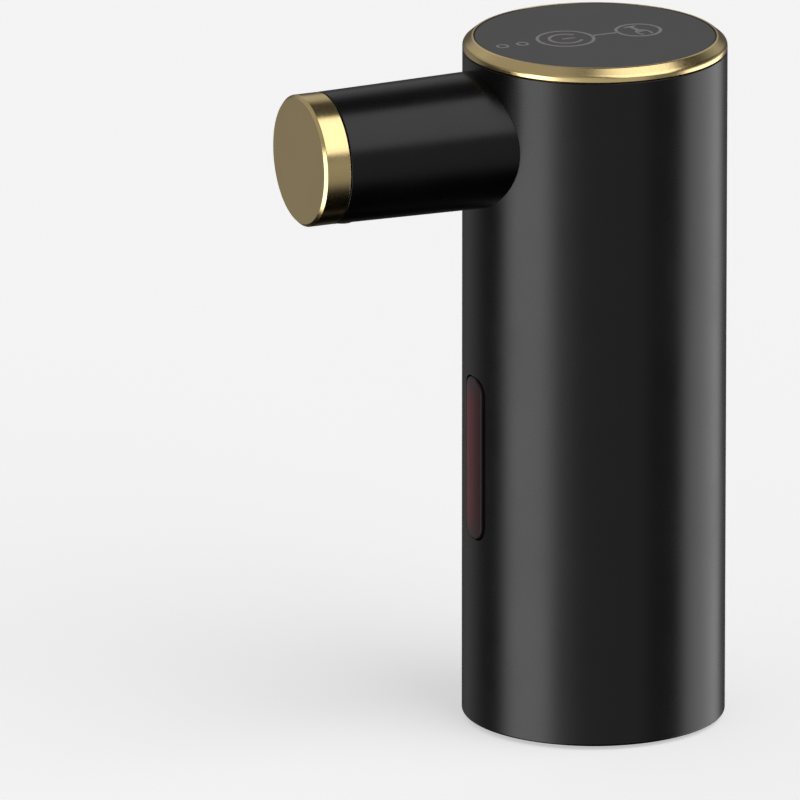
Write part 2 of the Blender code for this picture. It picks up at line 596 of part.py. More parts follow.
BALL_R, BALL_Y = 2.2, -45.45
me = bpy.data.meshes.new("check_ball")
bm = bmesh.new()
bmesh.ops.create_uvsphere(bm, u_segments=12, v_segments=6, radius=BALL_R * MM)
bm.to_mesh(me)
bm.free()
ball = place(bpy.data.objects.new("check_ball", me), (0, BALL_Y, SPOUT_Z), ALONG_SPOUT)
keep(ball, STEEL)
spring = as_mesh(wire("check_spring", coil(2.0, 3.0, 48.3, 52.4, 7), 0.25))
spring.location = Vector((0, 0, SPOUT_Z)) * MM
spring.rotation_euler = ALONG_SPOUT
keep(spring, STEEL)

nozzle_z = SPOUT_Z - SPOUT_R - 0.2
nozzle = turned("outlet_nozzle", [
    (0, 145.6), (NOZZLE_R - 0.4, 145.6), (NOZZLE_R, 145.2), (NOZZLE_R, nozzle_z + 0.3),
    (NOZZLE_R - 0.3, nozzle_z), (NOZZLE_BORE_R, nozzle_z), (NOZZLE_BORE_R, 142.0), (0, 143.8)], 18,
    (0, NOZZLE_Y, 0))
keep(nozzle, SOFT_BLACK)
boolean(nozzle, cutter(rod_y("nozzle_side_hole", 1.6, -52.0, NOZZLE_Y, 0.0, SPOUT_Z, 12)))

# ---------------------------------------------------------------- body shell and its openings
shell = turned("body_shell", [(BODY_R, SHELL_Z1), (BODY_R, 1.3), (BODY_R - 0.5, SHELL_Z0),
                              (BODY_RI, SHELL_Z0), (BODY_RI, SHELL_Z1)], SEG_BIG)
keep(shell, BLACK)
for i, a in enumerate(BASE_SCREW_A):
    x = BASE_SCREW_R * math.cos(math.radians(a))
    y = BASE_SCREW_R * math.sin(math.radians(a))
    boolean(shell, cutter(rod("shell_boss_%d" % (i + 1), 3.3, 4.7, 13.0, x, y, 14)), "UNION", "boss")
    boolean(shell, cutter(rod("shell_pilot_%d" % (i + 1), 1.3, 4.0, 11.6, x, y, 10)))

port_pad = cutter(band("port_pad", 27.2, 28.9, PORT_Z - 6.5, PORT_Z + 6.5))
boolean(port_pad, cutter(block("port_pad_box", (-9.5, 20.0, 0.0), (9.5, 32.0, 60.0))), "INTERSECT",
        "sector")
boolean(shell, port_pad, "UNION", "pad")
recess = cutter(band("port_recess", 28.85, 31.5, PORT_Z - 8.0, PORT_Z + 8.0))
boolean(recess, cutter(wall_prism("port_recess_outline", stadium(FLAP_W + 0.8, FLAP_H + 0.8, 6),
                                  20.0, 33.0, PORT_Z)), "INTERSECT", "outline")
boolean(shell, recess)
boolean(shell, cutter(wall_prism("port_opening", stadium(10.6, 4.8, 6), 20.0, 33.0, PORT_Z)))
boolean(shell, cutter(wall_prism("light_slot", rounded_rect(SLOT_W, SLOT_H, SLOT_R, 5),
                                 -33.0, -22.0, SLOT_Z)))
boolean(shell, cutter(rod_y("spout_opening", SPIGOT_R + 0.3, -33.0, -20.0, 0.0, SPOUT_Z, 32)))
for i, x in enumerate((SPOUT_SCREW_X, -SPOUT_SCREW_X)):
    boolean(shell, cutter(rod_y("spout_screw_hole_%d" % (i + 1), 1.3, -31.0, -20.0, x, SPOUT_Z, 10)))

# ---------------------------------------------------------------- spout and cap
spout = turned("spout_tube", [(SPOUT_R, SPOUT_END), (SPOUT_ROOT_R, 30.0), (SPOUT_ROOT_R, 25.5),
                              (12.5, 25.5), (12.5, 26.0), (9.6, 26.0), (9.6, 36.0),
                              (SPOUT_RI, 38.0), (SPOUT_RI, SPOUT_END)], 36, (0, 0, SPOUT_Z),
               ALONG_SPOUT)
keep(spout, BLACK)
boolean(spout, cutter(rod("nozzle_hole", NOZZLE_R + 0.35, 120.0, 130.0, 0.0, NOZZLE_Y, 20)))
saddle = cutter(rod("saddle", BODY_R + 0.3, 120.0, 158.0, segs=SEG_BIG))
boolean(saddle, cutter(rod_y("spigot_core", SPIGOT_R, -40.0, 0.0, 0.0, SPOUT_Z, 32)))
boolean(spout, saddle)
for i, x in enumerate((SPOUT_SCREW_X, -SPOUT_SCREW_X)):
    boolean(spout, cutter(rod_y("spout_pilot_%d" % (i + 1), 1.3, -34.6, -20.0, x, SPOUT_Z, 10)))
    keep(turned("spout_screw_%d" % (i + 1), [
        (0, 34.2), (1.0, 33.8), (1.0, 24.3), (1.9, 24.3), (1.9, 23.3), (0, 23.3)], 10,
        (x, 0, SPOUT_Z), ALONG_SPOUT), ZINC)

keep(turned("spout_cap", [(0, REACH), (SPOUT_R - 0.7, REACH), (SPOUT_R, REACH - 0.7),
                          (SPOUT_R, SPOUT_END + 0.3), (13.0, SPOUT_END + 0.3), (13.0, 65.6),
                          (11.9, 65.6), (11.9, REACH - 1.2), (0, REACH - 1.2)], 36, (0, 0, SPOUT_Z), ALONG_SPOUT),
     GOLD)

# ---------------------------------------------------------------- top ring and panel
keep(turned("top_ring", [(RING_TOP_R, BODY_H), (BODY_R, RING_CHAMFER_Z), (BODY_R, 157.1),
                         (28.0, 157.1), (28.0, 154.6), (25.6, 154.6), (25.6, 158.4),
                         (27.5, 158.4), (27.5, BODY_H)], SEG_BIG), GOLD)
keep(turned("touch_panel", [(0, PANEL_Z1), (PANEL_R - 0.3, PANEL_Z1), (PANEL_R, PANEL_Z1 - 0.3),
                            (PANEL_R, PANEL_Z0), (0, PANEL_Z0)], SEG_BIG), PANEL)

# ---------------------------------------------------------------- light window
lens = band("light_lens", 26.9, 28.0, 40.0, 90.0)
keep(lens, RED)
flange_outline = rounded_rect(13.2, SLOT_H + 2.6, 3.0, 4)
boolean(lens, cutter(wall_prism("lens_flange", flange_outline, -33.0, -20.0, SLOT_Z)),
        "INTERSECT", "outline")
lens_face = cutter(band("lens_face", 27.5, LENS_FACE_R, 40.0, 90.0))
face_outline = rounded_rect(LENS_W, LENS_H, LENS_R, 5)
boolean(lens_face, cutter(wall_prism("lens_face_outline", face_outline, -33.0, -20.0, SLOT_Z)),
        "INTERSECT", "outline")
boolean(lens, lens_face, "UNION", "face")

bar = block("light_bar_board", (-4.5, -25.2, 46.5), (4.5, -24.3, 82.6))
keep(bar, BOARD, smooth=False)
for i in range(5):
    z = SLOT_Z + (i - 2) * 7.6
    boolean(bar, cutter(block("light_chip_%d" % (i + 1), (-1.4, -26.0, z - 1.4), (1.4, -25.0, z + 1.4))),
            "UNION", "chip")

# ---------------------------------------------------------------- charging port
board = block("charge_board", (-7.5, 20.2, PORT_Z - 6.0), (7.5, 21.2, PORT_Z + 6.5))
keep(board, BOARD, smooth=False)
boolean(board, cutter(block("charge_part", (-5.5, 21.0, PORT_Z + 3.4), (-1.5, 22.2, PORT_Z + 5.6))),
        "UNION", "part")
socket = wall_prism("usb_socket", rounded_rect(8.9, 3.2, 1.3), 21.5, 27.9, PORT_Z)
keep(socket, STEEL)
boolean(socket, cutter(wall_prism("socket_mouth", rounded_rect(8.3, 2.6, 1.1), 22.6, 29.0, PORT_Z)))
boolean(socket, cutter(block("socket_tongue", (-3.3, 22.2, PORT_Z - 0.35), (3.3, 27.0, PORT_Z + 0.35))),
        "UNION", "tongue")

hinge = bpy.data.objects.new("flap_hinge_line", None)
parts.objects.link(hinge)
place(hinge, (FLAP_HINGE_X, FLAP_HINGE_Y, PORT_Z))
flap = band("port_flap", 29.15, 29.95, PORT_Z - 6.0, PORT_Z + 6.0)
keep(flap, SOFT_BLACK)
boolean(flap, cutter(wall_prism("flap_outline", stadium(FLAP_W, FLAP_H, 6), 20.0, 33.0, PORT_Z)),
        "INTERSECT", "outline")
boolean(flap, cutter(wall_prism("flap_plug", stadium(10.0, 4.2, 6), 28.3, 29.5, PORT_Z)), "UNION",
        "plug")
flap.parent = hinge
flap.location = -hinge.location
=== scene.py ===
"""Looks of the automatic wine dispenser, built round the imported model.

Lengths below are millimetres measured from the body's upright axis (X to the right, Y to the
back, Z up; the spout points to -Y). They turn into metres where a mesh is made.
"""

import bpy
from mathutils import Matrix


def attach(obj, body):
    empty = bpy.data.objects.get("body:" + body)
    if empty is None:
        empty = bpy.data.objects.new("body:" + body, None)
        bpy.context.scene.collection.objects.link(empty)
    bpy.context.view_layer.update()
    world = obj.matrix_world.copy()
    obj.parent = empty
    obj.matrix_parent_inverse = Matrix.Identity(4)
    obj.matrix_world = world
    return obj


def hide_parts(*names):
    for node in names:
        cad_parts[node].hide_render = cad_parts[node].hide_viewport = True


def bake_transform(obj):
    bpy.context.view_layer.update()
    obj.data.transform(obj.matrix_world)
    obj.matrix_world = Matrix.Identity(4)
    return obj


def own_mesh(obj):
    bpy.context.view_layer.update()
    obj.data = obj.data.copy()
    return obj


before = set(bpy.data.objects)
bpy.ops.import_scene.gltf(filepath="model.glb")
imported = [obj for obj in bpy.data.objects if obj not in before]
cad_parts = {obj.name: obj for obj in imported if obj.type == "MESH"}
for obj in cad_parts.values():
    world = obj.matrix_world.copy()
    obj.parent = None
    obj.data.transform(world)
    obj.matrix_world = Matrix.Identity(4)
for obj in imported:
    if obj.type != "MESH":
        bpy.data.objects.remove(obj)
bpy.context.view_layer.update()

import math

import bmesh
import bpy
import numpy as np
from mathutils import Matrix, Vector

MM = 0.001
AXIS_Y = 0.0216          # the body's axis in the row frame, metres

BODY_R, BODY_RI = 30.0, 28.4
SHELL_Z0, SHELL_Z1 = 0.8, 156.8
SPOUT_R, SPOUT_RI, SPOUT_Z, SPOUT_END, REACH = 15.0, 13.4, 138.8, 66.6, 73.2
SPOUT_DRAFT = 0.6 / 36.6  # how fast the tube widens towards the body
SPIGOT_R, SPOUT_SCREW_X = 10.9, 12.7
SLOT_W, SLOT_H, SLOT_Z, SLOT_R = 10.7, 38.2, 63.9, 3.9
LENS_W, LENS_H, LENS_R, LENS_FACE_R = 8.2, 37.9, 3.3, 30.3
PORT_Z, FLAP_W, FLAP_H = 24.0, 15.4, 8.4
NOZZLE_Y, NOZZLE_R, NOZZLE_BORE = -62.6, 2.7, 1.7
BASE_SCREW_R, BASE_SCREW_A = 25.4, (30.0, 150.0, 270.0)
PANEL_TOP = 159.9

# ------------------------------------------------------------------ camera
# Long lens at the photograph's viewing angle: azimuth 66 degrees, 16.5 above the horizon.
AZ, EL, DIST = math.radians(66.0), math.radians(16.5), 5.0
PX_PER_MM = 4.405
back = Vector((math.sin(AZ) * math.cos(EL), -math.cos(AZ) * math.cos(EL), math.sin(EL)))
right = Vector((math.cos(AZ), math.sin(AZ), 0.0))
up = back.cross(right)
aim = Vector((0.0, AXIS_Y, 0.080))
shift_px = (594.1 - 400.0, 400.0 - 374.4)
centre = aim - right * (shift_px[0] / PX_PER_MM * MM) - up * (shift_px[1] / PX_PER_MM * MM)
cam_data = bpy.data.cameras.new("camera")
cam_data.sensor_width = 36.0
cam_data.lens = 36.0 * DIST / (800.0 / PX_PER_MM * MM)
cam_data.clip_start, cam_data.clip_end = 0.5, 60.0
cam = bpy.data.objects.new("camera", cam_data)
bpy.context.scene.collection.objects.link(cam)
cam.matrix_world = Matrix((
    (right.x, up.x, back.x, 0.0), (right.y, up.y, back.y, 0.0), (right.z, up.z, back.z, 0.0),
    (0.0, 0.0, 0.0, 1.0)))
cam.location = centre + back * DIST
bpy.context.scene.camera = cam
bpy.context.scene.view_settings.view_transform = "Standard"
bpy.context.scene.view_settings.look = "None"


# ------------------------------------------------------------------ materials
class Tree:
    """Small helper round a material's nodes."""

    def __init__(self, name):
        self.mat = bpy.data.materials.new(name)
        self.mat.use_nodes = True
        self.nt = self.mat.node_tree
        self.bsdf = self.nt.nodes["Principled BSDF"]
        self.coord = self.nt.nodes.new("ShaderNodeTexCoord")

    def node(self, kind, **settings):
        n = self.nt.nodes.new(kind)
        for k, v in settings.items():
            setattr(n, k, v)
        return n

    def link(self, a, b):
        self.nt.links.new(a, b)

    def set(self, **values):
        for k, v in values.items():
            self.bsdf.inputs[k.replace("_", " ")].default_value = v

    def noise(self, scale, detail=2.0, rough=0.5, vector=None, stretch=None):
        """Noise value over object space; scale is in cells per metre."""
        n = self.node("ShaderNodeTexNoise")
        n.inputs["Scale"].default_value = 1.0
        n.inputs["Detail"].default_value = detail
        n.inputs["Roughness"].default_value = rough
        m = self.node("ShaderNodeMapping")
        s = stretch or (1.0, 1.0, 1.0)
        m.inputs["Scale"].default_value = tuple(scale * k for k in s)
        self.link(vector or self.coord.outputs["Object"], m.inputs["Vector"])
        self.link(m.outputs["Vector"], n.inputs["Vector"])
        return n.outputs["Fac"]

    def span(self, value, a, b, lo=0.0, hi=1.0, smooth=False):
        n = self.node("ShaderNodeMapRange")
        n.interpolation_type = "SMOOTHSTEP" if smooth else "LINEAR"
        for k, v in zip(("From Min", "From Max", "To Min", "To Max"), (lo, hi, a, b)):
            n.inputs[k].default_value = v
        self.link(value, n.inputs["Value"])
        return n.outputs["Result"]

    def math(self, op, a, b=None):
        n = self.node("ShaderNodeMath", operation=op)
        for i, v in enumerate((a, b)):
            if v is None:
                continue
            if isinstance(v, (int, float)):
                n.inputs[i].default_value = v
            else:
                self.link(v, n.inputs[i])
        return n.outputs[0]

    def mix(self, fac, a, b):
        n = self.node("ShaderNodeMix", data_type="RGBA")
        if isinstance(fac, (int, float)):
            n.inputs["Factor"].default_value = fac
        else:
            self.link(fac, n.inputs["Factor"])
        for i, c in ((6, a), (7, b)):
            if isinstance(c, tuple):
                n.inputs[i].default_value = (*c, 1.0)
            else:
                self.link(c, n.inputs[i])
        return n.outputs[2]

    def bump(self, height, strength, distance, previous=None):
        n = self.node("ShaderNodeBump")
        n.inputs["Strength"].default_value = strength
        n.inputs["Distance"].default_value = distance
        self.link(height, n.inputs["Height"])
        if previous is not None:
            self.link(previous, n.inputs["Normal"])
        return n.outputs["Normal"]

    def out(self, color=None, roughness=None, normal=None):
        for sock, v in (("Base Color", color), ("Roughness", roughness), ("Normal", normal)):
            if v is not None:
                self.link(v, self.bsdf.inputs[sock])
        return self.mat


def moulded(name, lo, hi, rough, ior=1.46, cell=2600.0, depth=0.000012, strength=0.25, blotch=60.0,
            spread=0.035, spec=0.5):
    """Moulded or sprayed plastic: two close tones in soft clouds, a fine grain, uneven gloss."""
    t = Tree(name)
    cloud = t.noise(blotch, 3.0, 0.55)
    grain = t.noise(cell, 2.0, 0.6)
    color = t.mix(t.span(cloud, 0.0, 1.0, 0.3, 0.7), lo, hi)
    r = t.math("ADD", t.span(cloud, rough - spread, rough + spread, 0.25, 0.75),
               t.span(grain, -0.015, 0.015, 0.3, 0.7))
    t.set(IOR=ior, Specular_IOR_Level=spec)
    return t.out(color, r, t.bump(grain, strength, depth))


def plated(name, lo, hi, rough, grain_axis=None, spread=0.03, grain_strength=0.10, cell=1800.0):
    """Plated or anodised metal with a fine grain."""
    t = Tree(name)
    cloud = t.noise(70.0, 3.0, 0.5)
    if grain_axis is None:
        grain = t.noise(cell, 3.0, 0.6)
    else:
        grain = t.noise(cell, 3.0, 0.6, stretch=grain_axis)
    color = t.mix(t.span(cloud, 0.0, 1.0, 0.3, 0.7), lo, hi)
    r = t.math("ADD", t.span(cloud, rough - spread, rough + spread, 0.25, 0.75),
               t.span(grain, -0.04, 0.04, 0.3, 0.7))
    t.set(Metallic=1.0)
    return t.out(color, r, t.bump(grain, grain_strength, 0.000008))


M = {}
M["shell_black"] = moulded("satin_black_coat", (0.0015, 0.0015, 0.0015), (0.0022, 0.0022, 0.0022), 0.27)
M["spout_black"] = moulded("satin_black_spout", (0.0011, 0.0011, 0.0012), (0.0016, 0.0016, 0.0017), 0.27)
M["base_black"] = moulded("grained_black", (0.010, 0.010, 0.010), (0.015, 0.015, 0.0155), 0.55, cell=1500.0,
                          depth=0.00003, strength=0.5)
M["gold"] = plated("champagne_gold", (0.86, 0.68, 0.325), (0.90, 0.72, 0.35), 0.20)
M["soft_black"] = moulded("soft_touch_rubber", (0.012, 0.012, 0.0125), (0.020, 0.020, 0.0205), 0.74,
                          cell=3200.0, depth=0.00002, strength=0.4, ior=1.42)
M["inner_grey"] = moulded("grey_moulding", (0.145, 0.146, 0.152), (0.175, 0.176, 0.182), 0.52, cell=1600.0,
                          depth=0.00003, strength=0.4)
M["pump_white"] = moulded("white_moulding", (0.66, 0.66, 0.63), (0.74, 0.74, 0.71), 0.42, cell=1800.0,
                          depth=0.00002, strength=0.3)
M["gear_resin"] = moulded("gear_resin", (0.70, 0.65, 0.50), (0.78, 0.74, 0.60), 0.36, cell=2200.0,
                          depth=0.00002, strength=0.3)
M["ferrite"] = moulded("ferrite", (0.030, 0.030, 0.034), (0.055, 0.054, 0.058), 0.66, cell=1300.0,
                       depth=0.00006, strength=0.6)
M["cell_blue"] = moulded("cell_sleeve", (0.035, 0.125, 0.29), (0.045, 0.15, 0.34), 0.28, cell=1200.0,
                         depth=0.00002, strength=0.25)
M["lead_red"] = moulded("lead_red", (0.36, 0.018, 0.016), (0.45, 0.03, 0.025), 0.42)
M["lead_black"] = moulded("lead_black", (0.018, 0.018, 0.018), (0.028, 0.028, 0.028), 0.42)
M["lead_white"] = moulded("lead_white", (0.62, 0.62, 0.59), (0.72, 0.72, 0.69), 0.42)
M["stainless"] = plated("stainless", (0.52, 0.52, 0.51), (0.60, 0.60, 0.59), 0.24, (0.15, 0.15, 3.0))
M["zinc_plate"] = plated("zinc_plate", (0.44, 0.45, 0.48), (0.54, 0.54, 0.55), 0.34)
M["lamination"] = plated("lamination_steel", (0.22, 0.22, 0.25), (0.32, 0.32, 0.34), 0.42, (0.1, 0.1, 2.4),
                         grain_strength=0.5)
M["copper"] = plated("enamelled_copper", (0.50, 0.17, 0.07), (0.60, 0.24, 0.11), 0.26)


def silicone(name):
    """Milky, slightly see-through silicone."""
    t = Tree(name)
    cloud = t.noise(90.0, 3.0, 0.5)
    grain = t.noise(1800.0, 2.0, 0.6)
    color = t.mix(t.span(cloud, 0.0, 1.0, 0.3, 0.7), (0.58, 0.57, 0.53), (0.68, 0.67, 0.64))
    r = t.span(cloud, 0.40, 0.50, 0.3, 0.7)
    t.set(IOR=1.41, Transmission_Weight=0.25)
    return t.out(color, r, t.bump(grain, 0.25, 0.00002))


M["silicone_clear"] = silicone("milky_silicone")


def clear_plastic(name):
    t = Tree(name)
    cloud = t.noise(150.0, 2.0, 0.5)
    color = t.mix(t.span(cloud, 0.0, 1.0, 0.3, 0.7), (0.80, 0.81, 0.82), (0.90, 0.90, 0.90))
    t.set(IOR=1.49, Transmission_Weight=0.7)
    return t.out(color, t.span(cloud, 0.08, 0.16, 0.3, 0.7), t.bump(cloud, 0.1, 0.00001))


M["light_pipe_clear"] = clear_plastic("light_pipe_clear")


def circuit_board(name):
    """Green solder mask with darker bare areas and lighter copper runs under it."""
    t = Tree(name)
    m = t.node("ShaderNodeMapping")
    m.inputs["Scale"].default_value = (420.0, 420.0, 420.0)
    t.link(t.coord.outputs["Object"], m.inputs["Vector"])
    v = t.node("ShaderNodeTexVoronoi", distance="MANHATTAN", feature="F1")
    v.inputs["Scale"].default_value = 1.0
    t.link(m.outputs["Vector"], v.inputs["Vector"])
    runs = t.span(t.math("SINE", t.math("MULTIPLY", v.outputs["Distance"], 18.0)), 0.0, 1.0, 0.1, 0.5, True)
    color = t.mix(runs, (0.008, 0.075, 0.034), (0.020, 0.135, 0.060))
    return t.out(color, t.span(runs, 0.42, 0.30), t.bump(runs, 0.3, 0.00003))


M["board_green"] = circuit_board("board_green")


def panel_gloss(name):
    """Back-painted dark panel under a clear hard coat."""
    t = Tree(name)
    cloud = t.noise(45.0, 3.0, 0.5)
    fleck = t.noise(6000.0, 1.0, 0.5)
    color = t.mix(t.span(cloud, 0.0, 1.0, 0.3, 0.7), (0.0085, 0.0078, 0.0085), (0.0115, 0.0106, 0.0112))
    color = t.mix(t.span(fleck, 0.0, 0.12, 0.72, 0.80), color, (0.030, 0.029, 0.030))
    t.set(IOR=1.50)
    return t.out(color, t.span(cloud, 0.10, 0.15, 0.3, 0.7), t.bump(cloud, 0.02, 0.00002))


M["panel_gloss"] = panel_gloss("dark_gloss_panel")


def panel_print(name):
    t = Tree(name)
    cloud = t.noise(900.0, 2.0, 0.6)
    color = t.mix(t.span(cloud, 0.0, 1.0, 0.3, 0.7), (0.275, 0.270, 0.277), (0.330, 0.324, 0.333))
    return t.out(color, t.span(cloud, 0.34, 0.44, 0.3, 0.7), t.bump(cloud, 0.1, 0.000004))


M["panel_print"] = panel_print("panel_print")


def smoked_lens(name):
    """Dark red lens with painted shade: darker towards +X as if lit from the other side, and
    darker and greyer towards its ends in painted shade, with a fine vertical grain of the diffuser."""
    t = Tree(name)
    sep = t.node("ShaderNodeSeparateXYZ")
    t.link(t.coord.outputs["Object"], sep.inputs["Vector"])
    # painted shade: the lens darkens towards +X, as if lit from its other side
    side = t.span(sep.outputs["X"], 0.0, 1.0, -0.0030, 0.0030, True)
    high = t.math("ABSOLUTE", t.math("SUBTRACT", sep.outputs["Z"], SLOT_Z * MM))
    # painted shade: the lens turns darker and greyer towards its top and bottom ends
    ends = t.span(high, 0.0, 1.0, 0.0125, 0.0196, True)
    grain = t.noise(900.0, 2.0, 0.5, stretch=(1.0, 1.0, 0.08))
    cloud = t.noise(140.0, 2.0, 0.5)
    tone = t.mix(t.span(cloud, 0.0, 1.0, 0.3, 0.7), (0.080, 0.0048, 0.0100), (0.094, 0.0064, 0.0130))
    color = t.mix(side, tone, (0.029, 0.0040, 0.0052))
    color = t.mix(ends, color, (0.018, 0.0095, 0.0110))
    t.set(IOR=1.49, Coat_Weight=0.0)
    return t.out(color, t.span(grain, 0.22, 0.32, 0.3, 0.7), t.bump(grain, 0.12, 0.00001))


M["lens_red"] = smoked_lens("smoked_red_lens")
# dark mask on the lens's flange and side walls, and painted shade on its long edges
M["lens_mask"] = moulded("lens_side_mask_and_painted_shade", (0.0090, 0.0048, 0.0056), (0.0125, 0.0066, 0.0076), 0.50, cell=1800.0,
                         spec=0.30)


def spun_gold(name):
    """The cap's flat face: spun satin, its faint turning marks round the spout's axis."""
    t = Tree(name)
    sub = t.node("ShaderNodeVectorMath", operation="SUBTRACT")
    sub.inputs[1].default_value = (0.0, 0.0, SPOUT_Z * MM)
    t.link(t.coord.outputs["Object"], sub.inputs[0])
    flat_v = t.node("ShaderNodeVectorMath", operation="MULTIPLY")
    flat_v.inputs[1].default_value = (1.0, 0.0, 1.0)
    t.link(sub.outputs["Vector"], flat_v.inputs[0])
    length = t.node("ShaderNodeVectorMath", operation="LENGTH")
    t.link(flat_v.outputs["Vector"], length.inputs[0])
    comb = t.node("ShaderNodeCombineXYZ")
    t.link(t.math("MULTIPLY", length.outputs["Value"], 5200.0), comb.inputs["X"])
    n = t.node("ShaderNodeTexNoise")
    n.inputs["Scale"].default_value = 1.0
    n.inputs["Detail"].default_value = 3.0
    t.link(comb.outputs["Vector"], n.inputs["Vector"])
    marks = n.outputs["Fac"]
    cloud = t.noise(60.0, 3.0, 0.5)
    color = t.mix(t.span(cloud, 0.0, 1.0, 0.3, 0.7), (0.86, 0.68, 0.335), (0.90, 0.72, 0.36))
    r = t.math("ADD", t.span(cloud, 0.30, 0.34, 0.3, 0.7), t.span(marks, -0.03, 0.03, 0.3, 0.7))
    t.set(Metallic=1.0)
    return t.out(color, r, t.bump(marks, 0.06, 0.000006))


M["gold_face"] = spun_gold("spun_gold_face")


# ------------------------------------------------------------------ mesh helpers
def link(ob):
    bpy.context.scene.collection.objects.link(ob)
    return ob


ALONG_SPOUT = Matrix.Translation((0.0, 0.0, SPOUT_Z)) @ Matrix.Rotation(math.radians(90.0), 4, "X")
UPRIGHT = Matrix.Identity(4)


def at(x=0.0, y=0.0, z=0.0):
    return Matrix.Translation((x, y, z))


TO_ROW = Matrix.Translation((0.0, AXIS_Y, 0.0)) @ Matrix.Scale(MM, 4)


def rounded_profile(profile, closed):
    """Points (r, z, normal before, normal after) of a profile whose corners may carry a fillet.

    The profile runs clockwise in the r-z plane (down its outer side), so a segment's outward
    normal is its direction turned a quarter turn to the left.
    """
    pts = [(Vector((p[0], p[1])), (p[2] if len(p) > 2 else 0.0)) for p in profile]
    n = len(pts)
    out = []

    def normal(a, b):
        d = (b - a).normalized()
        return Vector((-d.y, d.x))

    reach = [0.0] * n            # how far each fillet eats into its two segments
    for i, (p, f) in enumerate(pts):
        if f <= 0.0 or not (closed or 0 < i < n - 1):
            continue
        na, nb = normal(pts[i - 1][0], p), normal(p, pts[(i + 1) % n][0])
        turn = math.acos(max(-1.0, min(1.0, na.dot(nb))))
        reach[i] = f * math.tan(turn / 2)
    share = [1.0] * n
    for i in range(n if closed else n - 1):
        k = (i + 1) % n
        length = (pts[k][0] - pts[i][0]).length
        if reach[i] + reach[k] > 0.98 * length:
            q = 0.98 * length / (reach[i] + reach[k])
            share[i], share[k] = min(share[i], q), min(share[k], q)
    for i, (p, f) in enumerate(pts):
        f *= share[i]
        has_prev, has_next = closed or i > 0, closed or i < n - 1
        a = pts[i - 1][0] if has_prev else None
        b = pts[(i + 1) % n][0] if has_next else None
        na = normal(a, p) if has_prev else None
        nb = normal(p, b) if has_next else None
        if na is None or nb is None:
            out.append((p, na or nb, nb or na))
            continue
        turn = math.acos(max(-1.0, min(1.0, na.dot(nb))))
        if f <= 0.0 or turn < math.radians(2.0):
            out.append((p, na, nb))
            continue
        t = f * math.tan(turn / 2)
        u, v = (a - p).normalized(), (b - p).normalized()
        c = p + (u + v).normalized() * (f / math.cos(turn / 2))
        side = 1.0 if (p + u * t - c).dot(na) > 0 else -1.0
        steps = max(2, int(math.ceil(turn / math.radians(15.0 if f > 0.35 else 24.0))))
        for k in range(steps + 1):
            s = k / steps
            w = (na * math.sin((1 - s) * turn) + nb * math.sin(s * turn)) / math.sin(turn)
            w.normalize()
            out.append((c + w * (f * side), w, w))
    return out


def turned(name, profile, segs=96, place=UPRIGHT, closed=None, mats=None, mat_of=None):
    """Turned solid with exact normals. mat_of(r, z) picks the material slot of a face."""
    if closed is None:
        closed = not (profile[0][0] == 0 and profile[-1][0] == 0)
    pts = rounded_profile(profile, closed)
    bm = bmesh.new()
    rings = []
    for p, _, _ in pts:
        if abs(p.x) < 1e-9:
            rings.append([bm.verts.new((0.0, 0.0, p.y))])
        else:
            rings.append([bm.verts.new((p.x * math.cos(math.tau * j / segs),
                                        p.x * math.sin(math.tau * j / segs), p.y)) for j in range(segs)])
    normals = []

    def turn(n2, j):
        a = math.tau * j / segs
        return Vector((n2.x * math.cos(a), n2.x * math.sin(a), n2.y))

    pairs = list(zip(range(len(pts) - 1), range(1, len(pts))))
    if closed:
        pairs.append((len(pts) - 1, 0))
    for i, k in pairs:
        a, b = rings[i], rings[k]
        if len(a) == 1 and len(b) == 1:
            continue
        na, nb = pts[i][2], pts[k][1]
        slot = mat_of((pts[i][0].x + pts[k][0].x) / 2, (pts[i][0].y + pts[k][0].y) / 2) if mat_of else 0
        for j in range(segs):
            j2 = (j + 1) % segs
            if len(a) == 1:
                f = bm.faces.new((a[0], b[j], b[j2]))
                mid = turn(na, j + 0.5)
                normals += [mid, turn(nb, j), turn(nb, j2)]
            elif len(b) == 1:
                f = bm.faces.new((a[j], b[0], a[j2]))
                normals += [turn(na, j), turn(nb, j + 0.5), turn(na, j2)]
            else:
                f = bm.faces.new((a[j], b[j], b[j2], a[j2]))
                normals += [turn(na, j), turn(nb, j), turn(nb, j2), turn(na, j2)]
            f.smooth = True
            f.material_index = slot
    me = bpy.data.meshes.new(name)
    bm.to_mesh(me)
    bm.free()
    me.transform(place)
    r = place.to_3x3()
    ob = link(bpy.data.objects.new(name, me))
    for m in mats or ():
        me.materials.append(m)
    me.normals_split_custom_set([tuple((r @ n).normalized()) for n in normals])
    return ob


def solid(name, bm):
    """Object from a bmesh whose faces close; normals point out."""
    bmesh.ops.recalc_face_normals(bm, faces=bm.faces)
    me = bpy.data.meshes.new(name)
    bm.to_mesh(me)
    bm.free()
    return link(bpy.data.objects.new(name, me))


def bar(name, lo, hi, edge=0.0, steps=3):
    """Block with rounded edges."""
    bm = bmesh.new()
    bmesh.ops.create_cube(bm, size=1.0)
    bmesh.ops.scale(bm, vec=[b - a for a, b in zip(lo, hi)], verts=bm.verts)
    bmesh.ops.translate(bm, vec=[(a + b) / 2 for a, b in zip(lo, hi)], verts=bm.verts)
    if edge > 0:
        bmesh.ops.bevel(bm, geom=bm.edges[:], offset=edge, segments=steps, profile=0.5, affect="EDGES",
                        clamp_overlap=True)
    return solid(name, bm)


def outline_rows(w, h, r, n=10, straight=6):
    """Rows (v, half width) of a round-cornered outline from top to bottom."""
    r = min(r, w / 2, h / 2)
    c = h / 2 - r
    quarter = [math.pi / 2 * k / n for k in range(n + 1)]
    rows = [(c + r * math.cos(a), w / 2 - r + r * math.sin(a)) for a in quarter]
    if c > 1e-6:
        rows += [(c - 2 * c * k / straight, w / 2) for k in range(1, straight)]
        rows += [(-v, u) for v, u in reversed(rows[:n + 1])]
    else:
        rows += [(-v, u) for v, u in reversed(rows[:n])]
    return rows


